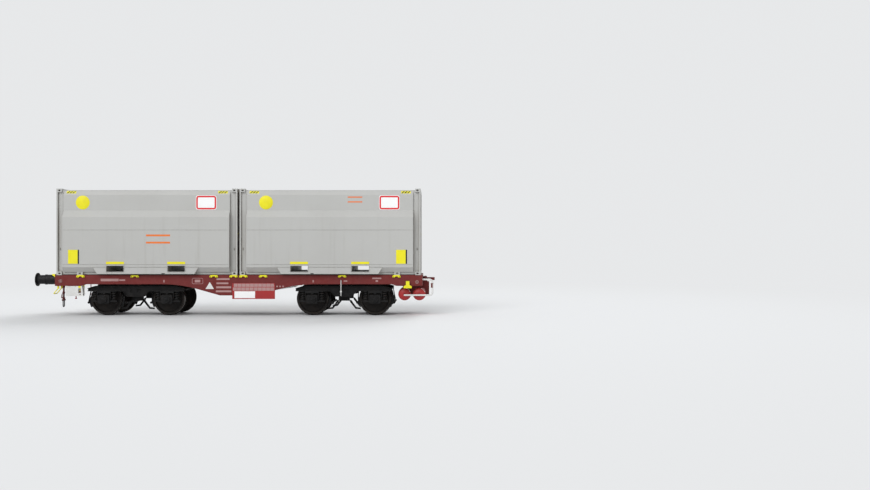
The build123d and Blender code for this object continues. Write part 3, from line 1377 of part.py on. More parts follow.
os.makedirs("parts", exist_ok=True)
save_underframe()
save_fittings()
wheelsets = 0
for number, end in enumerate(SIDES, start=1):
    save_bogie(number, end)
    save_container(number, end)
    for axle_x in about(end * PIVOT_X, WHEELBASE / 2):
        wheelsets += 1
        save_wheelset(wheelsets, axle_x)
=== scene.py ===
import json
import math

import bmesh
import bpy
from mathutils import Matrix, Vector

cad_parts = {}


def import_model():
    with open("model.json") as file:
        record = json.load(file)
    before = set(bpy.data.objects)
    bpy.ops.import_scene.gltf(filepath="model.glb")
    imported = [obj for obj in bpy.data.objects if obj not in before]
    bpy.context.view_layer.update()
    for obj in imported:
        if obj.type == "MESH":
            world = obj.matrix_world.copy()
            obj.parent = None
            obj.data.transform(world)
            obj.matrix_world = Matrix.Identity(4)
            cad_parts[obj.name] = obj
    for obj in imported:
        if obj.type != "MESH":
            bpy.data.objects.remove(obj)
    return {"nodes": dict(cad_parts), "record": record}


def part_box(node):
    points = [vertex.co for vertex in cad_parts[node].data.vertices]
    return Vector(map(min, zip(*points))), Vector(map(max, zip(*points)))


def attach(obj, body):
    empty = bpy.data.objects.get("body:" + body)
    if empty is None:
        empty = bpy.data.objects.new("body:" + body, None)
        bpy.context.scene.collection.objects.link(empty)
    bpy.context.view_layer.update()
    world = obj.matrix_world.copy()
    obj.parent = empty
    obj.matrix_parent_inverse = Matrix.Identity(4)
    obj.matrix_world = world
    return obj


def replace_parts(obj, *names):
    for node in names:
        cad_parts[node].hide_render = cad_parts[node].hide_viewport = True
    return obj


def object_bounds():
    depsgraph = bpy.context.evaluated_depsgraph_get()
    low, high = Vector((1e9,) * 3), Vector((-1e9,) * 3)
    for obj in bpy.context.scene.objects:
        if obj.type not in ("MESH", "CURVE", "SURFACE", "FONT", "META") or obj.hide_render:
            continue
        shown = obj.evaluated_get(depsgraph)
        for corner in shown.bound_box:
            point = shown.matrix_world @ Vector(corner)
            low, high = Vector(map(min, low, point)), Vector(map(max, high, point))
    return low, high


# A container flatcar with its two bulk containers. Metres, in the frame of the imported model:
# +X towards the drawbar end, +Z up from the top of the rails, and the near side at -Y.
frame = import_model()
solid_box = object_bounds()

NEAR, FAR = -1, 1
SIDES = (NEAR, FAR)
CONTAINERS = (1, 2)
BOGIES = (1, 2)
WHEELSETS = (1, 2, 3, 4)

# Camera, level and square on to the car, as far off as the photograph's perspective asks
CAMERA_AT = (6.775, -33.0, 2.357)
CAMERA_LENS = 39.28
CAMERA_REACH = 900

# Shader lookups: rays of each, and the turn of a normal that still counts as flat
LOOKUP_SAMPLES = 4
FLAT = 0.995
COAT_ROUGHNESS = 0.25

# Floor and light
FLOOR_REACH = 400
FLOOR_FADE = (9, 32)
FLOOR_PALE = (0.78, 0.79, 0.80, 1)
FLOOR_ROUGHNESS = 0.95
BACKGROUND = (0.80, 0.81, 0.82, 1)
WORLD_LIGHT = 0.62
SUN_SPREAD = 0.7
SUNS = {
    "front_sun": {"from": (-0.45, -1.0, 0.85), "strength": 1.55},
    "back_sun": {"from": (0.45, 1.0, 0.85), "strength": 1.30},
}

# Containers: heights above their foot and offsets from their middle, seen from the side they are on
BAND_Y = 1.219
BULGE_Y = 1.359
CHAMFER = ((1.219, 2.681), (1.154, 2.815))
PLATE_THICKNESS = 0.003
FILM_STEP = 0.0012
HAZARD_AT = (2.54, 2.7755)
HAZARD_FIELD = (0.32, 0.085)
HAZARD_FIELD_SHARE = 0.9
HAZARD_STROKES_IN_WIDTH = 7
HAZARD_LEAN = 0.9
HAZARD_STROKE_HALF = 0.46
DISC_AT = (-2.145, 2.430)
DISC_RADIUS = 0.234
DISC_RISE = (0.0025, 0.0035)
DISC_EDGE = 0.002
DISC_SIDES = 64
EMBLEM_AT = (1.9875, 2.4265)
EMBLEM_SIZE = (0.665, 0.455)
EMBLEM_MARGIN = 0.03
EMBLEM_RIM = 0.052
EMBLEM_CORNER = 0.075
LABEL_AT = {1: (-2.4025, 0.6135), 2: (2.397, 0.6135)}
LABEL_SIZE = (0.365, 0.467)
LABEL_STRIP = 0.045
LABEL_STRIP_STEP = 0.001
STRIPES_AT = {1: (0.4135, 1.207, BULGE_Y, 0.80, 0.30), 2: (0.835, 2.5305, BAND_Y, 0.49, 0.20)}
STRIPE_SHARE = 0.20
STRIPE_THICKNESS = 0.0015
POCKET_AT = 1.02
POCKET_HALF = 0.310
POCKET_BAR = (0.60, 0.080, 0.409)
SEAM_HEIGHTS = (0.355, 1.507)
SEAM_HALF = 2.761
SEAM_SUNK = 0.002
APRON_TOP = (1.765, 0.266)
APRON_FOOT = (1.625, 0.045)
APRON_BEAD = 0.007
DRAIN_FROM_MIDDLE = 0.585
DRAIN_HEIGHT = 0.055
DRAIN_SIZE = (0.11, 0.026)
DRAIN_THICKNESS = 0.001
PIN_FROM_END = 0.11
PIN_HEIGHT = 0.87
PIN_BASE = (0.040, 0.085, 0.012)
PIN_BASE_THICKNESS = 0.006
PIN_BASE_EDGE = 0.002
PIN_PROFILE = ((0.013, 0.004), (0.013, 0.022), (0.009, 0.026))
POST_Y = 1.159
END_PLATE_AT = (1.135, 1.385)
END_PLATE_SHAPE = (0.060, 0.055, 0.008)
END_PLATE_THICKNESS = 0.0015

# Side sills, from the deck's middle and from the rails: (x, z, width, height) of blank strips
SILL_STRIPS = {
    NEAR: (
        (-4.32, 1.185, 0.60, 0.085),
        (-3.90, 1.180, 0.20, 0.050),
        (-0.52, 1.215, 0.44, 0.055),
        (-0.54, 1.074, 0.40, 0.055),
        (-0.50, 0.940, 0.50, 0.065),
        (-0.50, 0.806, 0.52, 0.060),
        (-2.50, 1.144, 0.045, 0.08),
        (1.29, 0.97, 0.045, 0.05),
        (1.39, 0.97, 0.045, 0.05),
        (1.49, 0.97, 0.045, 0.05),
        (2.50, 1.144, 0.045, 0.08),
        (4.63, 1.240, 0.30, 0.050),
        (4.63, 1.150, 0.08, 0.060),
        (3.58, 1.150, 0.12, 0.040),
    ),
    FAR: (
        (5.58, 1.230, 0.48, 0.050),
        (5.66, 1.150, 0.34, 0.050),
        (4.07, 1.225, 0.28, 0.045),
        (4.07, 1.135, 0.33, 0.070),
        (4.78, 1.144, 0.06, 0.050),
        (2.51, 1.138, 0.045, 0.08),
        (1.20, 1.124, 0.54, 0.060),
        (-2.44, 1.154, 0.045, 0.08),
        (-3.40, 1.190, 0.10, 0.060),
        (-4.62, 1.160, 0.22, 0.050),
    ),
}
CARD_GRID = {"x": (-1.172, -0.244), "z": (0.880, 1.245), "columns": 3, "rows": 4, "gap": 0.016}
TRIANGLE = ((-1.108, 0.883), (-0.823, 0.883), (-0.9655, 1.117))
TRIANGLE_THICKNESS = 0.002
LABEL_RING = (-1.375, 1.150, 0.37, 0.20, 0.014)
LABEL_CORNER = 0.05
LABEL_FIELD = (0.5, 0.45)
TIE_RINGS = ((-5.966, 1.151), (5.977, 1.118))
TIE_RING_RADIUS = 0.050
TIE_RING_BAR = 0.008
TIE_RING_STAND = 0.006
TIE_BOSS = ((0.022, -0.002), (0.022, 0.010), (0.016, 0.014))
TIE_SIDES = (8, 18)
WEB_SEAMS = (-2.30, -0.824, 0.875, 2.30)
WEB_SEAM_INSETS = (0.03, 0.02)
SAME_PLACE = 0.0001
LIP_SPAN = (0.001, 0.020)
LIP_DEPTHS = (-0.002, 0.006)
SEAT_OFFSETS = (0.165, 0.826, 3.470, 5.290)
SEAT_BOLT_HEIGHT = 0.022
SEAT_BOLT_SPREAD = 0.105

# Ends of the car: heights from the rails, other places from the part that each piece stands on
DRAW_GEAR_Z = 1.19
HOOK_BOLTS_AT = (0.125, 0.045)
HEADSTOCK_BOLTS_Y = (0.42, 0.50)
HEADSTOCK_BOLTS_RISE = 0.135
BUFFER_BASE = 0.024
BUFFER_BOLT_CIRCLE = 0.186
BUFFER_SLEEVE = 0.430
SLEEVE_MOUTH = ((0.166, -0.045), (0.173, -0.040), (0.173, 0.006), (0.153, 0.010))
WEAR_DISC = ((0.150, -0.002), (0.150, -0.0006), (0.148, 0.0))
COUPLING_PAINT_FROM = 0.43
SCREW_Z = 0.705
THREAD_HALF = 0.200
THREAD_TURNS = 24
THREAD_PITCH = 0.016
THREAD_START = 0.196
THREAD_END_RADIUS = 0.025
THREAD_ROOT = 0.026
THREAD_CREST = 0.0335
THREAD_STEPS = (0.005, 0.009, 0.014)
SCREW_HUB = ((0.040, -0.030), (0.046, -0.024), (0.046, 0.024), (0.040, 0.030))
HANDLE_POINTS = ((0.03, 0.0), (0.09, -0.005), (0.15, -0.045), (0.17, -0.115), (0.17, -0.185))
HANDLE_RADII = (0.012, 0.012, 0.013, 0.018, 0.024)
HANDLE_SIDES = 12

# Sign board, from its own corner: blank cards above and a blank white panel below
BOARD_ROWS = ((0.045, 0.4595), (0.020, 0.3325))
BOARD_PANEL = (0.075, 0.030, 0.690, 0.228)
BOARD_RIGHT_EDGE = 0.020
BOARD_BOLT_INSET = 0.03
CARD_COUNT = 10
CARD_GAP = 0.010
CARD_HEIGHT = 0.1107
CARD_THICKNESS = 0.002

# Air reservoirs: the white clamp is a crescent of (first angle, step, points) at shares of the radius
WELD_FROM_END = 0.062
WELD_RING_RISE = 0.001
WELD_RING_BAR = 0.004
PLUG_PROFILE = ((0.030, -0.004), (0.030, 0.010), (0.022, 0.012))
PLUG_BOLT = 0.032
CLAMP_ARC = (18, 7, 9)
CLAMP_SHARES = (0.99, 0.86)
CLAMP_FROM_END = 0.060
CLAMP_THICKNESS = 0.012
CLAMP_EDGE = 0.002

# Changeover box: the handle in its window, its knobs, and the lid's hinges, from the box's own edges
WINDOW_FROM_RIGHT = 0.122
HANDLE_PLATE = (0.085, 0.066, 0.02)
HANDLE_PLATE_DROP = 0.035
HANDLE_PLATE_THICKNESS = 0.006
HANDLE_BAR = ((0.02, 0.040, 0.880), (0.005, 0.030, 0.850), (0.0, 0.012, 0.815))
HANDLE_BAR_RADIUS = 0.009
KNOB_AT = (0.0, 0.066, 0.790)
KNOB_PROFILE = ((0.030, 0.0), (0.030, 0.020), (0.020, 0.028))
BUTTON_AT = (0.020, 0.055)
BUTTON_PROFILE = ((0.016, -0.002), (0.016, 0.008), (0.011, 0.012))
BUTTON_SIDES = 16
HINGES_FROM_LEFT = (0.10, 0.30)
HINGE_HALF = 0.035
HINGE_INSETS = (0.004, 0.012)
HINGE_RADIUS = 0.007
BOX_BOLT_INSET = 0.03
BOX_BOLT_RISE = 0.27

# Cock of the white brake pipe and bars of the corner step
PIPE_RADIUS = 0.028
COCK_FROM_PIPE = 0.02
COCK_Z = 1.0
COCK_HALF = ((0.036, 0.046), (0.044, 0.050), (0.044, 0.068), (0.030, 0.075))
STEP_BARS = 11
STEP_BAR_INSETS = (0.012, 0.024)
STEP_BAR_MARGIN = 0.02
STEP_TREAD_RISE = 0.030
STEP_BAR_RADIUS = 0.004

# Running gear, from the axles and from the rails
AXLE_Z = 0.535
COVER_BOLTS = 6
COVER_BOLT_CIRCLE = 0.092
COVER_BOLT_SIZE = 0.026
COVER_CAP = ((0.062, -0.004), (0.060, 0.010), (0.040, 0.016), (0.012, 0.018))
HORN_FROM_AXLE = 0.218
HORN_FACE_Y = 1.0755
HORN_BOLTS_Z = 0.63
HORN_BOLT_PITCH = 0.07
HORN_BOLT_SIZE = 0.018
FRAME_BOLTS_X = (-0.209, 0.0, 0.209)
FRAME_BOLTS_Z = (0.72, 0.90)
FRAME_FACE_Y = 1.013
FRAME_BOLT_SIZE = 0.024
SPRING_FROM_AXLE = 0.315
SPRING_Y = 1.0
SPRING_TOP_Z = 0.8
SPRING_CAP = ((0.090, -0.002), (0.090, 0.010), (0.078, 0.014))
SPRING_COILS = ((0.068, 0.014, 5.5), (0.038, 0.009, 8.0))
SPRING_STEPS = 20
TREAD_PROFILE = ((0.530, 0.725), (0.5374, 0.726), (0.5360, 0.750), (0.5325, 0.800), (0.5300, 0.8035))
TREAD_SIDES = 128

# Sides of turned forms, and the angle above which an edge stays sharp
BEAD_SIDES = 6
RING_STEPS = 24
KNOB_SIDES = 20
CAP_SIDES = 28
BUFFER_SIDES = 48
WELD_RING_STEPS = 64
SHARP_ANGLE = 35

# Bolts, with radius and height in halves of the head's width, and weld beads
BOLT_SIZE = 0.030
SMALL_BOLT = 0.020
BOLT_SUNK = 0.004
BOLT_WASHER = ((1.25, 0.22), (1.15, 0.30))
BOLT_HEAD = ((1.0, 0.25), (1.0, 0.95), (0.82, 1.1))
WASHER_SIDES = 14
HEAD_SIDES = 6
BEAD_RADIUS = 0.004
BEAD_STEP = 0.06
BEAD_WAVES = ((0.18, 2.4), (0.10, 5.3))


def linear(red, green, blue):
    """The shader's colour for a colour seen on screen, each part from 0 to 255."""
    parts = [part / 255 for part in (red, green, blue)]
    light = [part / 12.92 if part <= 0.04045 else ((part + 0.055) / 1.055) ** 2.4 for part in parts]
    return (*light, 1)


class Finish:
    """One node material, built up in layers of colour, roughness and relief."""

    def __init__(self, name, colour, roughness, metallic=0.0):
        self.material = bpy.data.materials.new(name)
        self.material.use_nodes = True
        self.tree = self.material.node_tree
        self.shader = self.tree.nodes["Principled BSDF"]
        self.shader.inputs["Metallic"].default_value = metallic
        self.colour = colour
        self.roughness = roughness
        self.height = None
        coordinates = self.tree.nodes.new("ShaderNodeTexCoord")
        self.place = coordinates.outputs["Object"]
        geometry = self.tree.nodes.new("ShaderNodeNewGeometry")
        self.normal = geometry.outputs["Normal"]

    def add(self, kind, output, inputs, **settings):
        """A new node with its settings and inputs, given by name or number."""
        node = self.tree.nodes.new(kind)
        for key, value in settings.items():
            setattr(node, key, value)
        for key, value in inputs.items():
            if isinstance(value, bpy.types.NodeSocket):
                self.tree.links.new(value, node.inputs[key])
            else:
                node.inputs[key].default_value = value
        return node.outputs[output]

    def calc(self, operation, first, second=0.0, third=0.0):
        return self.add("ShaderNodeMath", 0, {0: first, 1: second, 2: third}, operation=operation)

    def noise(self, scale, detail=3.0, stretched=(1, 1, 1)):
        """Cloudy noise; stretched below 1 along an axis draws it out that way."""
        place = self.add("ShaderNodeMapping", 0, {"Vector": self.place, "Scale": stretched})
        inputs = {"Vector": place, "Scale": scale, "Detail": detail}
        return self.add("ShaderNodeTexNoise", "Fac", inputs)

    def window(self, value, low, high, to_low=0.0, to_high=1.0):
        """The value's rise from low to high, eased and held beyond them."""
        inputs = {"Value": value, "From Min": low, "From Max": high}
        inputs.update({"To Min": to_low, "To Max": to_high})
        return self.add("ShaderNodeMapRange", "Result", inputs, interpolation_type="SMOOTHSTEP")

    def axis(self, vector, name):
        return self.add("ShaderNodeSeparateXYZ", name, {"Vector": vector})

    def tint(self, factor, colour):
        """Lays a colour over what is there, by a mask."""
        inputs = {"Factor": factor, 6: self.colour, 7: colour}
        self.colour = self.add("ShaderNodeMix", 2, inputs, data_type="RGBA", clamp_factor=True)

    def roughen(self, factor, roughness):
        inputs = {"Factor": factor, 2: self.roughness, 3: roughness}
        self.roughness = self.add("ShaderNodeMix", 0, inputs, data_type="FLOAT")

    def recess(self, reach, low, high):
        """1 in corners and gaps that little light reaches, 0 on open faces."""
        inputs = {"Distance": reach}
        open_air = self.add("ShaderNodeAmbientOcclusion", "AO", inputs, samples=LOOKUP_SAMPLES)
        return self.window(open_air, low, high, 1.0, 0.0)

    def softened(self, radius):
        """The normal, rounded over edges."""
        return self.add("ShaderNodeBevel", 0, {"Radius": radius}, samples=LOOKUP_SAMPLES)

    def edge(self, radius, low, high):
        """1 along outer and inner edges."""
        inputs = {0: self.softened(radius), 1: self.normal}
        turn = self.add("ShaderNodeVectorMath", "Value", inputs, operation="DOT_PRODUCT")
        return self.window(turn, low, high, 1.0, 0.0)

    def chips(self, radius, low, scale, spread):
        """1 on scattered spots along the edges, where paint comes off first."""
        specks = self.window(self.noise(scale, 5), *spread)
        return self.calc("MULTIPLY", self.edge(radius, low, FLAT), specks)

    def upward(self, low, high):
        """1 on faces that look up, where dust settles."""
        return self.window(self.axis(self.normal, "Z"), low, high)

    def raise_by(self, height):
        self.height = height if self.height is None else self.calc("ADD", self.height, height)

    def done(self, coat=0.0, bump=0.4, depth=0.002, soften=0.0, specular=0.5):
        """Joins everything to the shader."""
        for name, value in (("Base Color", self.colour), ("Roughness", self.roughness)):
            if isinstance(value, bpy.types.NodeSocket):
                self.tree.links.new(value, self.shader.inputs[name])
            else:
                self.shader.inputs[name].default_value = value
        self.shader.inputs["Coat Weight"].default_value = coat
        self.shader.inputs["Coat Roughness"].default_value = COAT_ROUGHNESS
        self.shader.inputs["Specular IOR Level"].default_value = specular
        normal = self.softened(soften) if soften else None
        if self.height is not None:
            inputs = {"Height": self.height, "Strength": bump, "Distance": depth}
            if normal is not None:
                inputs["Normal"] = normal
            normal = self.add("ShaderNodeBump", 0, inputs)
        if normal is not None:
            self.tree.links.new(normal, self.shader.inputs["Normal"])
        return self.material


def container_paint():
    """Light warm grey paint on sheet steel: faint runs of dust, painted shade in corners and gaps, and
    dust with painted shade inside.
    """
    finish = Finish("container_paint", linear(188, 188, 185), 0.50)
    finish.tint(finish.window(finish.noise(0.55, 4), 0.38, 0.72, 0.0, 0.28), linear(177, 176, 172))
    runs = finish.window(finish.noise(5.0, 5, (1, 1, 0.07)), 0.52, 0.78, 0.0, 0.26)
    low_down = finish.window(finish.axis(finish.place, "Z"), 4.2, 1.4, 0.15, 1.0)
    finish.tint(finish.calc("MULTIPLY", runs, low_down), linear(150, 146, 137))
    # Painted shade: darker grey where the occlusion lookup finds corners and gaps that little light
    # reaches
    corner_shade = finish.calc("MULTIPLY", finish.recess(0.09, 0.30, 0.90), 0.34)
    finish.tint(corner_shade, linear(108, 103, 96))
    # Painted shade: near black in the deepest gaps, where almost no light reaches
    finish.tint(finish.recess(0.10, 0.04, 0.34), linear(30, 29, 28))
    rust = finish.chips(0.012, 0.90, 46, (0.56, 0.70))
    finish.tint(finish.calc("MULTIPLY", rust, 0.6), linear(120, 94, 76))
    # Dust and painted shade inside: a brown deposit laid where a wide occlusion lookup finds the walls
    # cut off light, broken up by scuffs
    dust_and_shade_inside = finish.recess(1.6, 0.30, 0.62)
    scuffs = finish.window(finish.noise(2.2, 7, (1, 1, 0.35)), 0.34, 0.66, 0.25, 0.85)
    finish.tint(finish.calc("MULTIPLY", dust_and_shade_inside, scuffs), linear(128, 118, 105))
    settled = finish.window(finish.noise(3.2, 6), 0.30, 0.75, 0.10, 0.6)
    finish.tint(finish.calc("MULTIPLY", finish.upward(0.6, 0.95), settled), linear(160, 153, 141))
    finish.roughen(finish.window(finish.noise(9, 4), 0.35, 0.75), 0.64)
    finish.raise_by(finish.calc("MULTIPLY", finish.noise(1.7, 2), 2.0))
    finish.raise_by(finish.calc("MULTIPLY", finish.noise(160, 2), 0.10))
    return finish.done(coat=0.05, bump=0.35, depth=0.003, soften=0.006, specular=0.4)


def oxide_paint():
    """Red-brown primer on the car's frame, dulled by brake dust, with painted shade in its corners."""
    finish = Finish("oxide_paint", linear(113, 38, 36), 0.58)
    finish.tint(finish.window(finish.noise(1.1, 5), 0.35, 0.72, 0.0, 0.40), linear(96, 34, 33))
    finish.tint(finish.window(finish.noise(13, 6), 0.54, 0.80, 0.0, 0.30), linear(132, 63, 56))
    # Painted shade: dark brown where the occlusion lookup finds corners and gaps
    finish.tint(finish.calc("MULTIPLY", finish.recess(0.12, 0.30, 0.90), 0.60), linear(56, 32, 30))
    finish.tint(finish.chips(0.008, 0.90, 60, (0.55, 0.68)), linear(88, 62, 54))
    finish.tint(finish.calc("MULTIPLY", finish.upward(0.5, 0.95), 0.40), linear(110, 84, 76))
    finish.roughen(finish.window(finish.noise(8, 4), 0.35, 0.75), 0.78)
    finish.raise_by(finish.noise(90, 3))
    return finish.done(bump=0.25, depth=0.001, soften=0.005, specular=0.35)


def bogie_paint():
    """Black paint under a coat of brown brake dust."""
    finish = Finish("bogie_paint", linear(19, 19, 20), 0.62)
    finish.tint(finish.window(finish.noise(2.6, 6), 0.42, 0.78, 0.0, 0.40), linear(36, 32, 30))
    finish.tint(finish.calc("MULTIPLY", finish.upward(0.35, 0.95), 0.40), linear(58, 50, 43))
    worn = finish.chips(0.007, 0.90, 55, (0.50, 0.66))
    finish.tint(finish.calc("MULTIPLY", worn, 0.8), linear(84, 78, 72))
    finish.roughen(finish.window(finish.noise(7, 5), 0.35, 0.75), 0.82)
    finish.raise_by(finish.noise(70, 4))
    return finish.done(bump=0.35, depth=0.0015, soften=0.006, specular=0.22)


def wheel_steel():
    """Rolled wheel steel, brown with dust on the plate, and painted shade in its corners."""
    finish = Finish("wheel_steel", linear(31, 28, 26), 0.64, 0.3)
    finish.tint(finish.window(finish.noise(3.5, 6), 0.40, 0.76, 0.0, 0.6), linear(47, 38, 33))
    # Painted shade: near black where the occlusion lookup finds corners and gaps
    finish.tint(finish.calc("MULTIPLY", finish.recess(0.10, 0.30, 0.90), 0.5), linear(19, 18, 17))
    finish.roughen(finish.window(finish.noise(12, 5), 0.35, 0.75), 0.78)
    finish.raise_by(finish.noise(85, 4))
    return finish.done(bump=0.30, depth=0.001, soften=0.004, specular=0.3)


def tread_steel():
    """The band that runs on the rail, rolled bright, with fine lines round it."""
    finish = Finish("tread_steel", linear(150, 148, 144), 0.30, 1.0)
    finish.tint(finish.window(finish.noise(7, 5), 0.45, 0.75, 0.0, 0.6), linear(104, 98, 92))
    finish.roughen(finish.window(finish.noise(30, 4), 0.35, 0.75), 0.46)
    finish.raise_by(finish.noise(9, 3, (0.2, 60, 0.2)))
    return finish.done(bump=0.12, depth=0.0004)


def spring_steel():
    """Black painted coil steel with dust in its folds."""
    finish = Finish("spring_steel", linear(30, 30, 31), 0.48, 0.2)
    finish.tint(finish.window(finish.noise(9, 6), 0.42, 0.74, 0.0, 0.6), linear(60, 52, 44))
    finish.raise_by(finish.noise(120, 3))
    return finish.done(bump=0.3, depth=0.0006, specular=0.35)


def gloss_paint(name, colour, shade, chips_and_corner_shade, roughness):
    """Gloss topcoat on a small fitting, with faded patches, painted shade in its corners and chipped
    edges.
    """
    finish = Finish(name, linear(*colour), roughness)
    finish.tint(finish.window(finish.noise(4.5, 5), 0.40, 0.78, 0.0, 0.45), linear(*shade))
    # Painted shade in corners and gaps, in the same dark colour as the chips
    finish.tint(finish.calc("MULTIPLY", finish.recess(0.05, 0.30, 0.90), 0.45), linear(*chips_and_corner_shade))
    finish.tint(finish.chips(0.004, 0.88, 75, (0.58, 0.70)), linear(*chips_and_corner_shade))
    finish.roughen(finish.window(finish.noise(15, 4), 0.35, 0.75), roughness + 0.22)
    finish.raise_by(finish.noise(140, 2))
    return finish.done(coat=0.10, bump=0.15, depth=0.0006, soften=0.003, specular=0.4)


def bare_steel(name, colour, grease, paint=None):
    """Forged or worn steel with a film of grease and brown dust, and paint on its upper part."""
    finish = Finish(name, linear(*colour), 0.46, 0.4)
    finish.tint(finish.window(finish.noise(6, 6), 0.40, 0.72, 0.0, 0.7), linear(*grease))
    if paint:
        height = finish.axis(finish.place, "Z")
        height = finish.calc("MULTIPLY_ADD", finish.noise(16, 4), 0.08, height)
        low = COUPLING_PAINT_FROM
        finish.tint(finish.window(height, low, low + 0.10, 0.0, 0.9), linear(*paint))
    finish.roughen(finish.window(finish.noise(18, 5), 0.38, 0.72), 0.70)
    finish.raise_by(finish.noise(95, 4))
    return finish.done(bump=0.35, depth=0.0012, soften=0.004, specular=0.35)


# Topcoats and films: colour, faded patches, the colour of painted corner shade and of chips, and
# roughness
TOPCOATS = {
    "yellow_paint": ((242, 232, 22), (222, 208, 34), (110, 96, 40), 0.40),
    "white_paint": ((226, 226, 224), (204, 203, 198), (116, 110, 102), 0.40),
    "bright_red_paint": ((166, 38, 38), (144, 36, 36), (66, 30, 28), 0.40),
    "signal_red_film": ((226, 32, 40), (206, 34, 40), (120, 40, 36), 0.40),
    "white_film": ((252, 252, 252), (246, 246, 246), (170, 166, 160), 0.5),
    "black_film": ((24, 24, 25), (36, 35, 34), (60, 56, 50), 0.5),
    "orange_film": ((238, 122, 50), (218, 112, 52), (130, 84, 54), 0.5),
    "pale_film": ((178, 140, 138), (156, 116, 114), (92, 54, 50), 0.5),
    "seam_dirt": ((148, 146, 141), (132, 129, 123), (90, 85, 78), 0.6),
}
# Bare steels: colour, grease, and paint on the upper part
STEELS = {
    "buffer_paint": ((20, 20, 22), (32, 30, 29)),
    "coupling_steel": ((50, 47, 45), (34, 30, 28), (118, 48, 44)),
}
FINISHES = {
    "container_paint": container_paint(),
    "oxide_paint": oxide_paint(),
    "bogie_paint": bogie_paint(),
    "wheel_steel": wheel_steel(),
    "tread_steel": tread_steel(),
    "spring_steel": spring_steel(),
}
FINISHES.update({name: gloss_paint(name, *look) for name, look in TOPCOATS.items()})
FINISHES.update({name: bare_steel(name, *look) for name, look in STEELS.items()})


def dress_nodes():
    """Gives every solid of the frame the finish that the record names for it."""
    for part in frame["record"]["subparts"]:
        solid = frame["nodes"][part["node"]]
        solid.data.materials.clear()
        solid.data.materials.append(FINISHES[part["material_slot"]])


def facing(centre, normal, up=(0, 0, 1)):
    """A matrix whose Z is the normal, Y is up along the face and X runs to the viewer's right."""
    z = Vector(normal).normalized()
    x = Vector(up).cross(z).normalized()
    y = z.cross(x)
    return Matrix.Translation(centre) @ Matrix((x, y, z)).transposed().to_4x4()


def rectangle(width, height, x=0.0, y=0.0):
    corners = ((-1, -1), (1, -1), (1, 1), (-1, 1))
    return [(x + right * width / 2, y + up * height / 2) for right, up in corners]


def mirrored(x, y):
    """The four places at one distance from both middle lines."""
    return [(right * x, up * y) for right in SIDES for up in SIDES]


def rounded(width, height, radius, steps=5):
    """A rectangle with round corners."""
    corners = []
    for quarter, (right, up) in enumerate(((1, 1), (-1, 1), (-1, -1), (1, -1))):
        middle_x, middle_y = right * (width / 2 - radius), up * (height / 2 - radius)
        for step in range(steps + 1):
            turn = math.pi / 2 * (quarter + step / steps)
            corners.append((middle_x + radius * math.cos(turn), middle_y + radius * math.sin(turn)))
    return corners


def ring(radius, count, turn=0.0):
    angles = [turn + 2 * math.pi * i / count for i in range(count)]
    return [(radius * math.cos(angle), radius * math.sin(angle)) for angle in angles]


def hoop(radius, count):
    """A ring with its first point again at the end."""
    points = ring(radius, count)
    return points + points[:1]


def raised(matrix, levels):
    """Outlines lifted over a matrix's face; each level is (outline, height)."""
    return [[matrix @ Vector((x, y, z)) for x, y in outline] for outline, z in levels]


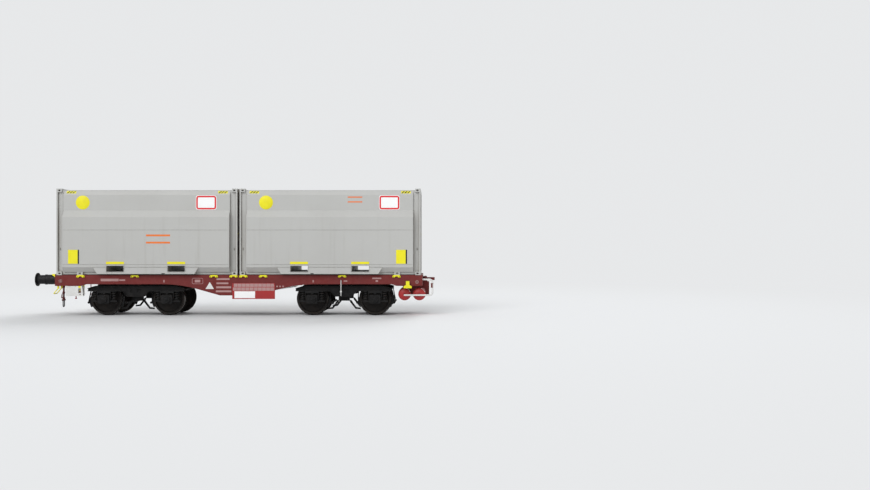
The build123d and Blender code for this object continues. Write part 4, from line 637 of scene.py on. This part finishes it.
class Piece:
    """A mesh in the making, which rides on a body and takes one finish."""

    def __init__(self, name, body, finish):
        self.name, self.body, self.finish = name, body, finish
        self.mesh = bmesh.new()

    def rows(self, rows, closed=True):
        """Skins loops of points that follow one another, and caps both ends."""
        loops = [[self.mesh.verts.new(point) for point in row] for row in rows]
        for lower, upper in zip(loops, loops[1:]):
            for i, here in enumerate(lower):
                after = (i + 1) % len(lower)
                self.mesh.faces.new((here, lower[after], upper[after], upper[i]))
        if closed:
            self.mesh.faces.new(list(reversed(loops[0])))
            self.mesh.faces.new(loops[-1])

    def plate(self, matrix, outline, thickness, edge=0.0012):
        """A flat plate with a small bevel, standing on the face that the matrix gives."""
        middle = Vector((sum(x for x, _ in outline), sum(y for _, y in outline))) / len(outline)
        inner = []
        for x, y in outline:
            inward = (middle - Vector((x, y))).normalized() * edge
            inner.append((x + inward.x, y + inward.y))
        levels = ((outline, -thickness), (outline, thickness - edge), (inner, thickness))
        self.rows(raised(matrix, levels))

    def frame(self, matrix, outer, inner, thickness):
        """A flat rim between two outlines with as many corners."""
        levels = [(inner, -thickness), (outer, -thickness), (outer, thickness), (inner, thickness)]
        self.rows(raised(matrix, levels + levels[:1]), closed=False)

    def lathe(self, matrix, profile, sides, turn=0.0):
        """A turned form about the matrix's Z; profile is (radius, height) from the foot up."""
        self.rows(raised(matrix, [(ring(radius, sides, turn), z) for radius, z in profile]))

    def bolt(self, matrix, size):
        """A hexagon head on its washer; size is the head's width over its corners."""
        half = size / 2
        washer = [(half * radius, half * z) for radius, z in BOLT_WASHER]
        self.lathe(matrix, [(washer[0][0], -BOLT_SUNK)] + washer, WASHER_SIDES)
        self.lathe(matrix, [(half * radius, half * z) for radius, z in BOLT_HEAD], HEAD_SIDES)

    def bolt_row(self, matrix, places, size):
        for x, y in places:
            self.bolt(matrix @ Matrix.Translation((x, y, 0)), size)

    def tube(self, points, radius, sides=10):
        """A round bar along points, turned as little as can be from one point to the next."""
        points = [Vector(point) for point in points]
        across, rows = None, []
        for i, point in enumerate(points):
            ahead = (points[min(i + 1, len(points) - 1)] - points[max(i - 1, 0)]).normalized()
            across = ahead.orthogonal() if across is None else across - ahead * across.dot(ahead)
            across.normalize()
            beside = ahead.cross(across)
            thick = radius(i) if callable(radius) else radius
            rows.append([point + across * x + beside * y for x, y in ring(thick, sides)])
        self.rows(rows)

    def bead(self, start, end, radius=BEAD_RADIUS):
        """A weld bead between two points, uneven along its run."""
        start, end = Vector(start), Vector(end)
        count = max(int((end - start).length / BEAD_STEP), 2)
        points = [start.lerp(end, i / count) for i in range(count + 1)]

        def thickness(i):
            return radius * (1 + sum(swell * math.sin(pace * i) for swell, pace in BEAD_WAVES))

        self.tube(points, thickness, BEAD_SIDES)

    def done(self):
        """Turns the mesh into a shown piece, round where it is round and sharp at its corners."""
        data = bpy.data.meshes.new(self.name)
        bmesh.ops.recalc_face_normals(self.mesh, faces=self.mesh.faces)
        for face in self.mesh.faces:
            face.smooth = True
        self.mesh.to_mesh(data)
        self.mesh.free()
        data.set_sharp_from_angle(angle=math.radians(SHARP_ANGLE))
        piece = bpy.data.objects.new(self.name, data)
        bpy.context.scene.collection.objects.link(piece)
        data.materials.append(FINISHES[self.finish])
        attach(piece, self.body)
        return piece


# Containers

class Wall:
    """One long side of a container, with places along it given as its viewer sees them."""

    def __init__(self, number, side):
        low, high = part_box(f"container_{number}_end_walls")
        self.middle, self.foot, self.side = (low[0] + high[0]) / 2, low[2], side

    def point(self, along, height, y):
        return Vector((self.middle - self.side * along, self.side * y, self.foot + height))

    def face(self, along, height, y, lean=(1, 0)):
        """A matrix on the wall; lean is the face's normal as (outwards, up)."""
        return facing(self.point(along, height, y), (0, self.side * lean[0], lean[1]))

    def chamfer(self, along, height):
        """The same on the slope under the top rail."""
        (low_y, low_z), (high_y, high_z) = CHAMFER
        share = (height - low_z) / (high_z - low_z)
        y = low_y + share * (high_y - low_y)
        return self.face(along, height, y, (high_z - low_z, low_y - high_y))


def hazard_plate(yellow, black, at):
    """Yellow plate with three slanting black strokes."""
    width, height = HAZARD_FIELD
    yellow.plate(at, rectangle(width, height / HAZARD_FIELD_SHARE), PLATE_THICKNESS)
    stroke = width / HAZARD_STROKES_IN_WIDTH
    lean, half = height * HAZARD_LEAN, height * HAZARD_STROKE_HALF
    for step in (-1, 0, 1):
        left = step * 2 * stroke - stroke / 2 - lean / 2
        right = left + stroke
        outline = [(left, -half), (right, -half), (right + lean, half), (left + lean, half)]
        black.plate(at, outline, PLATE_THICKNESS + FILM_STEP)


def container_plates(number):
    """Plain coloured plates and bars where the container carries its markings, on both sides."""
    finishes = ("yellow_paint", "white_film", "signal_red_film", "black_film", "orange_film")
    plates = [Piece(f"container_{number}_{finish}_plates", "car", finish) for finish in finishes]
    yellow, white, red, black, orange = plates
    for side in SIDES:
        wall = Wall(number, side)
        for end in SIDES:
            hazard_plate(yellow, black, wall.chamfer(end * HAZARD_AT[0], HAZARD_AT[1]))
        disc = wall.face(*DISC_AT, BAND_Y)
        rim, top = DISC_RISE
        profile = ((DISC_RADIUS, -PLATE_THICKNESS), (DISC_RADIUS, rim), (DISC_RADIUS - DISC_EDGE, top))
        yellow.lathe(disc, profile, DISC_SIDES)
        emblem = wall.face(*EMBLEM_AT, BAND_Y)
        width, height = EMBLEM_SIZE
        outer = rounded(width, height, EMBLEM_CORNER)
        inner = rounded(width - 2 * EMBLEM_RIM, height - 2 * EMBLEM_RIM, EMBLEM_CORNER / 3)
        field = rounded(width + EMBLEM_MARGIN, height + EMBLEM_MARGIN, EMBLEM_CORNER)
        white.plate(emblem, field, PLATE_THICKNESS)
        red.frame(emblem, outer, inner, PLATE_THICKNESS + FILM_STEP)
        label = wall.face(*LABEL_AT[number], BULGE_Y)
        yellow.plate(label, rectangle(*LABEL_SIZE), PLATE_THICKNESS)
        strip = rectangle(LABEL_STRIP, LABEL_SIZE[1], (LABEL_SIZE[0] - LABEL_STRIP) / 2)
        black.plate(label, strip, PLATE_THICKNESS + LABEL_STRIP_STEP)
        along, middle_z, y, stripe_width, spread = STRIPES_AT[number]
        stripes = wall.face(along, middle_z, y)
        for way in SIDES:
            lift = way * spread * (1 - STRIPE_SHARE) / 2
            stripe = rectangle(stripe_width, spread * STRIPE_SHARE, 0, lift)
            orange.plate(stripes, stripe, STRIPE_THICKNESS)
        for pocket in SIDES:
            at = wall.face(pocket * POCKET_AT, POCKET_BAR[2], BULGE_Y)
            yellow.plate(at, rectangle(*POCKET_BAR[:2]), PLATE_THICKNESS)
    for piece in plates:
        piece.done()


def container_seams(number):
    """Folded seams, weld beads, and a black plate of painted shade for a drain's mouth, on both sides."""
    seams = Piece(f"container_{number}_seams", "car", "seam_dirt")
    drain_shade = Piece(f"container_{number}_drains", "car", "black_film")
    for side in SIDES:
        wall = Wall(number, side)
        for height in SEAM_HEIGHTS:
            seams.bead(wall.point(-SEAM_HALF, height, BULGE_Y), wall.point(SEAM_HALF, height, BULGE_Y))
        (top_x, top_z), (foot_x, foot_z) = APRON_TOP, APRON_FOOT
        gaps = [-top_x, -POCKET_AT - POCKET_HALF, -POCKET_AT + POCKET_HALF]
        gaps += [-x for x in reversed(gaps)]
        for start, end in zip(gaps[::2], gaps[1::2]):
            seams.bead(wall.point(start, top_z, BULGE_Y), wall.point(end, top_z, BULGE_Y), APRON_BEAD)
        for way in SIDES:
            foot = wall.point(way * foot_x, foot_z, BULGE_Y - SEAM_SUNK)
            seams.bead(wall.point(way * top_x, top_z, BULGE_Y - SEAM_SUNK), foot)
        # Painted shade: a flat black plate stands for the dark opening of the drain
        drain = wall.face((2 * number - 3) * side * DRAIN_FROM_MIDDLE, DRAIN_HEIGHT, BULGE_Y)
        drain_shade.plate(drain, rectangle(*DRAIN_SIZE), DRAIN_THICKNESS)
    seams.done()
    drain_shade.done()


def end_fittings(number):
    """Small pin on each post's outer face, and a yellow plate on its end face."""
    pins = Piece(f"container_{number}_post_pins", "car", "seam_dirt")
    plates = Piece(f"container_{number}_post_plates", "car", "yellow_paint")
    low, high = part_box(f"container_{number}_end_walls")
    for side in SIDES:
        for end, x in zip(SIDES, (low[0], high[0])):
            at = facing((x - end * PIN_FROM_END, side * POST_Y, low[2] + PIN_HEIGHT), (0, side, 0))
            pins.plate(at, rounded(*PIN_BASE), PIN_BASE_THICKNESS, PIN_BASE_EDGE)
            pins.lathe(at, PIN_PROFILE, WASHER_SIDES)
            at = facing((x, side * END_PLATE_AT[0], low[2] + END_PLATE_AT[1]), (end, 0, 0))
            plates.plate(at, rounded(*END_PLATE_SHAPE), END_PLATE_THICKNESS)
    pins.done()
    plates.done()


# Underframe

def sill_face(side, x, z):
    """A matrix on a side sill's outer face."""
    low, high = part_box("side_sill_near" if side == NEAR else "side_sill_far")
    outer = low[1] if side == NEAR else high[1]
    return facing(((low[0] + high[0]) / 2 + x, outer, z), (0, side, 0))


def sill_markings():
    """Blank strips, cards, an outline and a triangle where the sills carry their signs."""
    pale = Piece("sill_strips", "car", "pale_film")
    for side, strips in SILL_STRIPS.items():
        for x, z, width, height in strips:
            pale.plate(sill_face(side, x, z), rectangle(width, height), FILM_STEP)
    x, z, width, height, stroke = LABEL_RING
    outer = rounded(width, height, LABEL_CORNER)
    inner = rounded(width - 2 * stroke, height - 2 * stroke, LABEL_CORNER - stroke)
    pale.frame(sill_face(NEAR, x, z), outer, inner, FILM_STEP)
    field = rectangle(width * LABEL_FIELD[0], height * LABEL_FIELD[1])
    pale.plate(sill_face(NEAR, x, z), field, FILM_STEP)
    low_x, high_x = CARD_GRID["x"]
    low_z, high_z = CARD_GRID["z"]
    columns, rows, gap = CARD_GRID["columns"], CARD_GRID["rows"], CARD_GRID["gap"]
    width, height = (high_x - low_x) / columns, (high_z - low_z) / rows
    for column in range(columns):
        for row in range(rows):
            at = sill_face(FAR, low_x + (column + 0.5) * width, low_z + (row + 0.5) * height)
            pale.plate(at, rectangle(width - gap, height - gap), FILM_STEP)
    pale.done()
    sign = Piece("sill_triangle", "car", "white_paint")
    middle_x = sum(x for x, _ in TRIANGLE) / 3
    middle_z = sum(z for _, z in TRIANGLE) / 3
    outline = [(x - middle_x, z - middle_z) for x, z in TRIANGLE]
    sign.plate(sill_face(NEAR, middle_x, middle_z), outline, TRIANGLE_THICKNESS)
    sign.done()


def board_cards():
    """Blank cards and the blank white panel on the sign board."""
    low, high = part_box("sign_board")
    cards = Piece("sign_board_cards", "car", "pale_film")
    panel = Piece("sign_board_panel", "car", "white_film")
    right_edge = high[0] - BOARD_RIGHT_EDGE
    for inset, from_foot in BOARD_ROWS:
        left = low[0] + inset
        width = (right_edge - left) / CARD_COUNT
        for card in range(CARD_COUNT):
            centre = (left + (card + 0.5) * width, low[1], low[2] + from_foot)
            card_outline = rectangle(width - CARD_GAP, CARD_HEIGHT)
            cards.plate(facing(centre, (0, -1, 0)), card_outline, CARD_THICKNESS)
    left, foot, width, height = BOARD_PANEL
    at = facing((low[0] + left + width / 2, low[1], low[2] + foot + height / 2), (0, -1, 0))
    panel.plate(at, rectangle(width, height), PLATE_THICKNESS)
    cards.done()
    panel.done()
    bolts = Piece("sign_board_bolts", "car", "oxide_paint")
    for x in (low[0] + BOARD_BOLT_INSET, high[0] - BOARD_BOLT_INSET):
        for z in (low[2] + BOARD_BOLT_INSET, high[2] - BOARD_BOLT_INSET):
            bolts.bolt(facing((x, low[1], z), (0, -1, 0)), SMALL_BOLT)
    bolts.done()


def low_edge(node, side):
    """The lower edge of a sill's outer face, from left to right, read from the frame."""
    solid = frame["nodes"][node]
    outer = min(v.co.y * -side for v in solid.data.vertices) * -side
    lowest = {}
    for vertex in solid.data.vertices:
        if math.isclose(vertex.co.y, outer, abs_tol=SAME_PLACE):
            x = round(vertex.co.x / SAME_PLACE) * SAME_PLACE
            lowest[x] = min(vertex.co.z, lowest.get(x, vertex.co.z))
    return [(x, outer, lowest[x]) for x in sorted(lowest)]


def height_at(edge, x):
    """The edge's height at a place between two of its points."""
    for (x0, _, z0), (x1, _, z1) in zip(edge, edge[1:]):
        if x0 <= x <= x1:
            return z0 + (z1 - z0) * (x - x0) / (x1 - x0)
    return edge[0][2]


def sill_details():
    """Lip along the belly, weld seams across the web, and tie rings."""
    lips = Piece("sill_lips", "car", "oxide_paint")
    rings = Piece("sill_tie_rings", "car", "pale_film")
    for side, node in ((NEAR, "side_sill_near"), (FAR, "side_sill_far")):
        edge = low_edge(node, side)
        rows = []
        for x, y, z in edge:
            low, high = (z + rise for rise in LIP_SPAN)
            inner, outer = (y + side * depth for depth in LIP_DEPTHS)
            section = ((inner, low), (outer, low), (outer, high), (inner, high))
            rows.append([Vector((x, *corner)) for corner in section])
        lips.rows(rows)
        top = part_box(node)[1][2]
        for seam in WEB_SEAMS:
            x, y, _ = sill_face(side, seam, 0).translation
            from_foot, from_top = WEB_SEAM_INSETS
            lips.bead((x, y, height_at(edge, x) + from_foot), (x, y, top - from_top))
        for x, z in TIE_RINGS:
            at = sill_face(side, x, z)
            loop = raised(at, [(hoop(TIE_RING_RADIUS, RING_STEPS), TIE_RING_STAND)])[0]
            rings.tube(loop, TIE_RING_BAR, TIE_SIDES[0])
            rings.lathe(at, TIE_BOSS, TIE_SIDES[1])
    lips.done()
    rings.done()


def bracket_bolts():
    """Two bolts on each container seat, over its legs."""
    bolts = Piece("seat_bolts", "car", "oxide_paint")
    low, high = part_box("container_brackets")
    middle = (low[0] + high[0]) / 2
    for offset in SEAT_OFFSETS:
        for end in SIDES:
            for side, y in zip(SIDES, (low[1], high[1])):
                at = facing((middle + end * offset, y, low[2] + SEAT_BOLT_HEIGHT), (0, side, 0))
                bolts.bolt_row(at, [(way * SEAT_BOLT_SPREAD, 0) for way in SIDES], SMALL_BOLT)
    bolts.done()


def headstock_bolts():
    """Bolts round the hook's throat, and rows of smaller ones on each headstock."""
    bolts = Piece("headstock_bolts", "car", "oxide_paint")
    for node, end in (("headstock_outer", -1), ("headstock_inner", 1)):
        low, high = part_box(node)
        x = low[0] if end < 0 else high[0]
        at = facing((x, 0, DRAW_GEAR_Z), (end, 0, 0))
        if end < 0:
            bolts.bolt_row(at, mirrored(*HOOK_BOLTS_AT), BOLT_SIZE)
        for y in HEADSTOCK_BOLTS_Y:
            bolts.bolt_row(at, mirrored(y, HEADSTOCK_BOLTS_RISE), SMALL_BOLT)
    bolts.done()


# Ends of the car

def buffer_details():
    """Base bolts, a ring on the sleeve's mouth and the greased disc on each head."""
    steel = Piece("buffer_bolts", "car", "buffer_paint")
    worn = Piece("buffer_wear_discs", "car", "coupling_steel")
    for node in ("buffer_near", "buffer_far"):
        low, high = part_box(node)
        y, z = (low[1] + high[1]) / 2, (low[2] + high[2]) / 2
        base = facing((high[0] - BUFFER_BASE, y, z), (-1, 0, 0))
        steel.bolt_row(base, ring(BUFFER_BOLT_CIRCLE, 4, math.pi / 4), BOLT_SIZE)
        mouth = facing((high[0] - BUFFER_SLEEVE, y, z), (-1, 0, 0))
        steel.lathe(mouth, SLEEVE_MOUTH, BUFFER_SIDES)
        worn.lathe(facing((low[0], y, z), (-1, 0, 0)), WEAR_DISC, BUFFER_SIDES)
    steel.done()
    worn.done()


def coupling_details():
    """Thread on the coupling's screw, and the weighted handle at its middle."""
    low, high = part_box("screw_coupling")
    x = (low[0] + high[0]) / 2
    screw = Piece("coupling_thread", "car", "coupling_steel")
    profile = [(THREAD_END_RADIUS, -THREAD_HALF)]
    crest_from, crest_to, turn_end = THREAD_STEPS
    for turn in range(THREAD_TURNS):
        z = turn * THREAD_PITCH - THREAD_START
        profile += [(THREAD_ROOT, z), (THREAD_CREST, z + crest_from)]
        profile += [(THREAD_CREST, z + crest_to), (THREAD_ROOT, z + turn_end)]
    profile.append((THREAD_END_RADIUS, THREAD_HALF))
    middle = Matrix.Translation((x, 0, SCREW_Z))
    screw.lathe(middle, profile, KNOB_SIDES)
    screw.lathe(middle, SCREW_HUB, KNOB_SIDES)
    handle = [(x, -out, SCREW_Z + rise) for out, rise in HANDLE_POINTS]
    screw.tube(handle, lambda i: HANDLE_RADII[i], HANDLE_SIDES)
    screw.done()


# Fittings

def reservoir_details():
    """Weld rings, a drain plug and a pale clamp on each air reservoir."""
    low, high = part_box("air_reservoirs")
    radius = (high[2] - low[2]) / 2
    z = (low[2] + high[2]) / 2
    rings = Piece("reservoir_weld_rings", "car", "bright_red_paint")
    plugs = Piece("reservoir_plugs", "car", "coupling_steel")
    clamps = Piece("reservoir_clamps", "car", "white_paint")
    for x in (low[0] + radius, high[0] - radius):
        for y in (low[1] + WELD_FROM_END, high[1] - WELD_FROM_END):
            circle = hoop(radius + WELD_RING_RISE, WELD_RING_STEPS)
            rings.tube([(x + right, y, z + up) for right, up in circle], WELD_RING_BAR, BEAD_SIDES)
        at = facing((x, low[1], z), (0, -1, 0))
        plugs.lathe(at, PLUG_PROFILE, KNOB_SIDES)
        plugs.bolt(at @ Matrix.Translation((0, 0, PLUG_PROFILE[-1][1])), PLUG_BOLT)
        first, turn, count = CLAMP_ARC
        ways = [math.radians(first + turn * i) for i in range(count)]
        outer, inner = [[(radius * share * math.cos(way), radius * share * math.sin(way)) for way in ways]
                        for share in CLAMP_SHARES]
        crescent = facing((x, low[1] + CLAMP_FROM_END, z), (0, -1, 0))
        clamps.plate(crescent, outer + inner[::-1], CLAMP_THICKNESS, CLAMP_EDGE)
    rings.done()
    plugs.done()
    clamps.done()


def changeover_details():
    """Yellow handle in the box's window, two dark knobs, the lid's hinges and two bolts."""
    low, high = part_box("changeover_box")
    handle = Piece("changeover_handle", "car", "yellow_paint")
    knob = Piece("changeover_knob", "car", "coupling_steel")
    hinge = Piece("changeover_hinges", "car", "white_paint")
    x, y = high[0] - WINDOW_FROM_RIGHT, low[1]
    at = facing((x, y, high[2] - HANDLE_PLATE_DROP), (0, -1, 0))
    handle.plate(at, rounded(*HANDLE_PLATE), HANDLE_PLATE_THICKNESS)
    handle.tube([(x + right, y + inwards, z) for right, inwards, z in HANDLE_BAR], HANDLE_BAR_RADIUS)
    right, inwards, z = KNOB_AT
    knob.lathe(facing((x + right, y + inwards, z), (0, -1, 0)), KNOB_PROFILE, KNOB_SIDES)
    right, rise = BUTTON_AT
    knob.lathe(facing((x + right, y, low[2] + rise), (0, -1, 0)), BUTTON_PROFILE, BUTTON_SIDES)
    out, drop = HINGE_INSETS
    for hinge_x in (low[0] + inset for inset in HINGES_FROM_LEFT):
        ends = [(hinge_x + way * HINGE_HALF, y - out, high[2] - drop) for way in SIDES]
        hinge.tube(ends, HINGE_RADIUS)
    at = facing((low[0] + BOX_BOLT_INSET, y, low[2] + BOX_BOLT_INSET), (0, -1, 0))
    hinge.bolt_row(at, [(0, 0), (0, BOX_BOLT_RISE)], SMALL_BOLT)
    handle.done()
    knob.done()
    hinge.done()


def brake_pipe_cock():
    """Cock with a flange at each end, on the upright run of the white brake pipe."""
    low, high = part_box("brake_pipes")
    cock = Piece("brake_pipe_cock", "car", "coupling_steel")
    x, y = high[0] - PIPE_RADIUS - COCK_FROM_PIPE, low[1] + PIPE_RADIUS
    below = [(radius, -z) for radius, z in reversed(COCK_HALF)]
    middle = facing((x, y, COCK_Z), (0, 0, 1), (0, 1, 0))
    cock.lathe(middle, below + list(COCK_HALF), RING_STEPS)
    cock.done()


def step_tread():
    """Raised bars across the corner step, which keep a boot from slipping."""
    low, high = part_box("corner_step")
    bars = Piece("step_bars", "car", "white_paint")
    near, far = low[1] + STEP_BAR_INSETS[0], high[1] - STEP_BAR_INSETS[1]
    span = high[0] - low[0] - 2 * STEP_BAR_MARGIN
    z = low[2] + STEP_TREAD_RISE
    for i in range(STEP_BARS):
        x = low[0] + STEP_BAR_MARGIN + span * i / (STEP_BARS - 1)
        bars.tube([(x, near, z), (x, far, z)], STEP_BAR_RADIUS, BEAD_SIDES)
    bars.done()


# Running gear

def axle_places(number):
    """X of the two axles of a bogie."""
    boxes = [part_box(f"wheelset_{2 * number - 1 + i}_axle") for i in (0, 1)]
    return [(low[0] + high[0]) / 2 for low, high in boxes]


def bogie_bolts(number):
    """Cover, horn and frame bolts, cover caps and spring caps of one bogie."""
    body = f"bogie_{number}"
    bolts = Piece(f"bogie_{number}_bolts", body, "bogie_paint")
    low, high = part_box(f"bogie_{number}_axleboxes")
    middle = sum(axle_places(number)) / 2
    for axle in axle_places(number):
        for side, y in zip(SIDES, (low[1], high[1])):
            cover = facing((axle, y, AXLE_Z), (0, side, 0))
            bolts.bolt_row(cover, ring(COVER_BOLT_CIRCLE, COVER_BOLTS), COVER_BOLT_SIZE)
            bolts.lathe(cover, COVER_CAP, CAP_SIDES)
            for way in SIDES:
                horn = (axle + way * HORN_FROM_AXLE, side * HORN_FACE_Y, HORN_BOLTS_Z)
                places = [(0, step * HORN_BOLT_PITCH) for step in (-1, 0, 1)]
                bolts.bolt_row(facing(horn, (0, side, 0)), places, HORN_BOLT_SIZE)
                spring_top = (axle + way * SPRING_FROM_AXLE, side * SPRING_Y, SPRING_TOP_Z)
                cap = Matrix.Translation(spring_top) @ Matrix.Rotation(math.pi, 4, "X")
                bolts.lathe(cap, SPRING_CAP, CAP_SIDES)
    for side in SIDES:
        for x in FRAME_BOLTS_X:
            for z in FRAME_BOLTS_Z:
                at = facing((middle + x, side * FRAME_FACE_Y, z), (0, side, 0))
                bolts.bolt(at, FRAME_BOLT_SIZE)
    bolts.done()


def bogie_springs(number):
    """Nested coil springs with ground ends, in place of the plain solids."""
    node = f"bogie_{number}_springs"
    low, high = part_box(node)
    coils = Piece(f"bogie_{number}_coil_springs", f"bogie_{number}", "spring_steel")
    for axle in axle_places(number):
        for end in SIDES:
            for side in SIDES:
                y = side * (high[1] - SPRING_COILS[0][0] - SPRING_COILS[0][1])
                spring(coils, (axle + end * SPRING_FROM_AXLE, y), (low[2], high[2]))
    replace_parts(coils.done(), node)


def spring(piece, at, span):
    """One outer and one inner coil; the first and last turns lie flat."""
    for coil_radius, wire, turns in SPRING_COILS:
        steps = int(turns * SPRING_STEPS)
        low, high = span[0] + wire, span[1] - wire
        points = []
        for i in range(steps + 1):
            turn = 2 * math.pi * turns * i / steps
            share = (turns * i / steps - 1) / (turns - 2)
            z = low + (high - low) * min(max(share, 0.0), 1.0)
            x, y = at[0] + coil_radius * math.cos(turn), at[1] + coil_radius * math.sin(turn)
            points.append((x, y, z))
        piece.tube(points, wire)


def wheel_treads(number):
    """Bright running band round each wheel."""
    low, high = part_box(f"wheelset_{number}_wheels")
    x, z = (low[0] + high[0]) / 2, (low[2] + high[2]) / 2
    treads = Piece(f"wheelset_{number}_treads", f"wheelset_{number}", "tread_steel")
    levels = [(ring(radius, TREAD_SIDES), out) for radius, out in TREAD_PROFILE]
    for side in SIDES:
        treads.rows(raised(facing((x, 0, z), (0, side, 0)), levels), closed=False)
    treads.done()


# Surroundings

def floor():
    """Pale floor that keeps the shadow near the car and turns into the background far off."""
    reach = FLOOR_REACH
    mesh = bmesh.new()
    corners = [(-reach, -reach), (reach, -reach), (reach, reach), (-reach, reach)]
    mesh.faces.new([mesh.verts.new((x, y, solid_box[0][2])) for x, y in corners])
    data = bpy.data.meshes.new("floor")
    mesh.to_mesh(data)
    mesh.free()
    plane = bpy.data.objects.new("floor", data)
    bpy.context.scene.collection.objects.link(plane)
    finish = Finish("floor_finish", FLOOR_PALE, FLOOR_ROUGHNESS)
    distance = finish.add("ShaderNodeVectorMath", "Value", {0: finish.place}, operation="LENGTH")
    seen = finish.add("ShaderNodeLightPath", "Is Camera Ray", {})
    reflected = finish.add("ShaderNodeLightPath", "Is Glossy Ray", {})
    viewed = finish.calc("MAXIMUM", seen, reflected)
    shown = finish.calc("MULTIPLY", finish.window(distance, *FLOOR_FADE), viewed)
    finish.done(specular=0.1)
    glow = finish.add("ShaderNodeEmission", 0, {"Color": BACKGROUND, "Strength": 1.0})
    mixed = finish.add("ShaderNodeMixShader", 0, {0: shown, 1: finish.shader.outputs[0], 2: glow})
    finish.tree.links.new(mixed, finish.tree.nodes["Material Output"].inputs["Surface"])
    data.materials.append(finish.material)


def world():
    """Pale background for the eye and in reflections; softer light for everything else."""
    sky = bpy.data.worlds.new("studio")
    bpy.context.scene.world = sky
    sky.use_nodes = True
    tree = sky.node_tree
    background = tree.nodes["Background"]
    background.inputs["Color"].default_value = BACKGROUND
    path = tree.nodes.new("ShaderNodeLightPath")
    shown = path.outputs["Is Camera Ray"]
    for ray in ("Is Glossy Ray", "Is Transmission Ray"):
        either = tree.nodes.new("ShaderNodeMath")
        either.operation = "MAXIMUM"
        tree.links.new(shown, either.inputs[0])
        tree.links.new(path.outputs[ray], either.inputs[1])
        shown = either.outputs[0]
    bright = tree.nodes.new("ShaderNodeMapRange")
    bright.inputs["To Min"].default_value = WORLD_LIGHT
    tree.links.new(shown, bright.inputs["Value"])
    tree.links.new(bright.outputs["Result"], background.inputs["Strength"])


def suns():
    """A broad soft sun in front of the car and a weaker one behind it."""
    for name, sun in SUNS.items():
        light = bpy.data.lights.new(name, "SUN")
        light.energy = sun["strength"]
        light.angle = SUN_SPREAD
        holder = bpy.data.objects.new(name, light)
        holder.rotation_euler = (-Vector(sun["from"])).to_track_quat("-Z", "Y").to_euler()
        bpy.context.scene.collection.objects.link(holder)


def camera():
    data = bpy.data.cameras.new("camera")
    data.lens = CAMERA_LENS
    data.clip_end = CAMERA_REACH
    eye = bpy.data.objects.new("camera", data)
    eye.location = CAMERA_AT
    eye.rotation_euler = (math.pi / 2, 0, 0)
    bpy.context.scene.collection.objects.link(eye)
    bpy.context.scene.camera = eye


dress_nodes()
for number in CONTAINERS:
    container_plates(number)
    container_seams(number)
    end_fittings(number)
sill_markings()
sill_details()
board_cards()
bracket_bolts()
headstock_bolts()
buffer_details()
coupling_details()
reservoir_details()
changeover_details()
brake_pipe_cock()
step_tread()
for number in BOGIES:
    bogie_bolts(number)
    bogie_springs(number)
for number in WHEELSETS:
    wheel_treads(number)
floor()
world()
suns()
camera()
bpy.context.scene.view_settings.view_transform = "Standard"
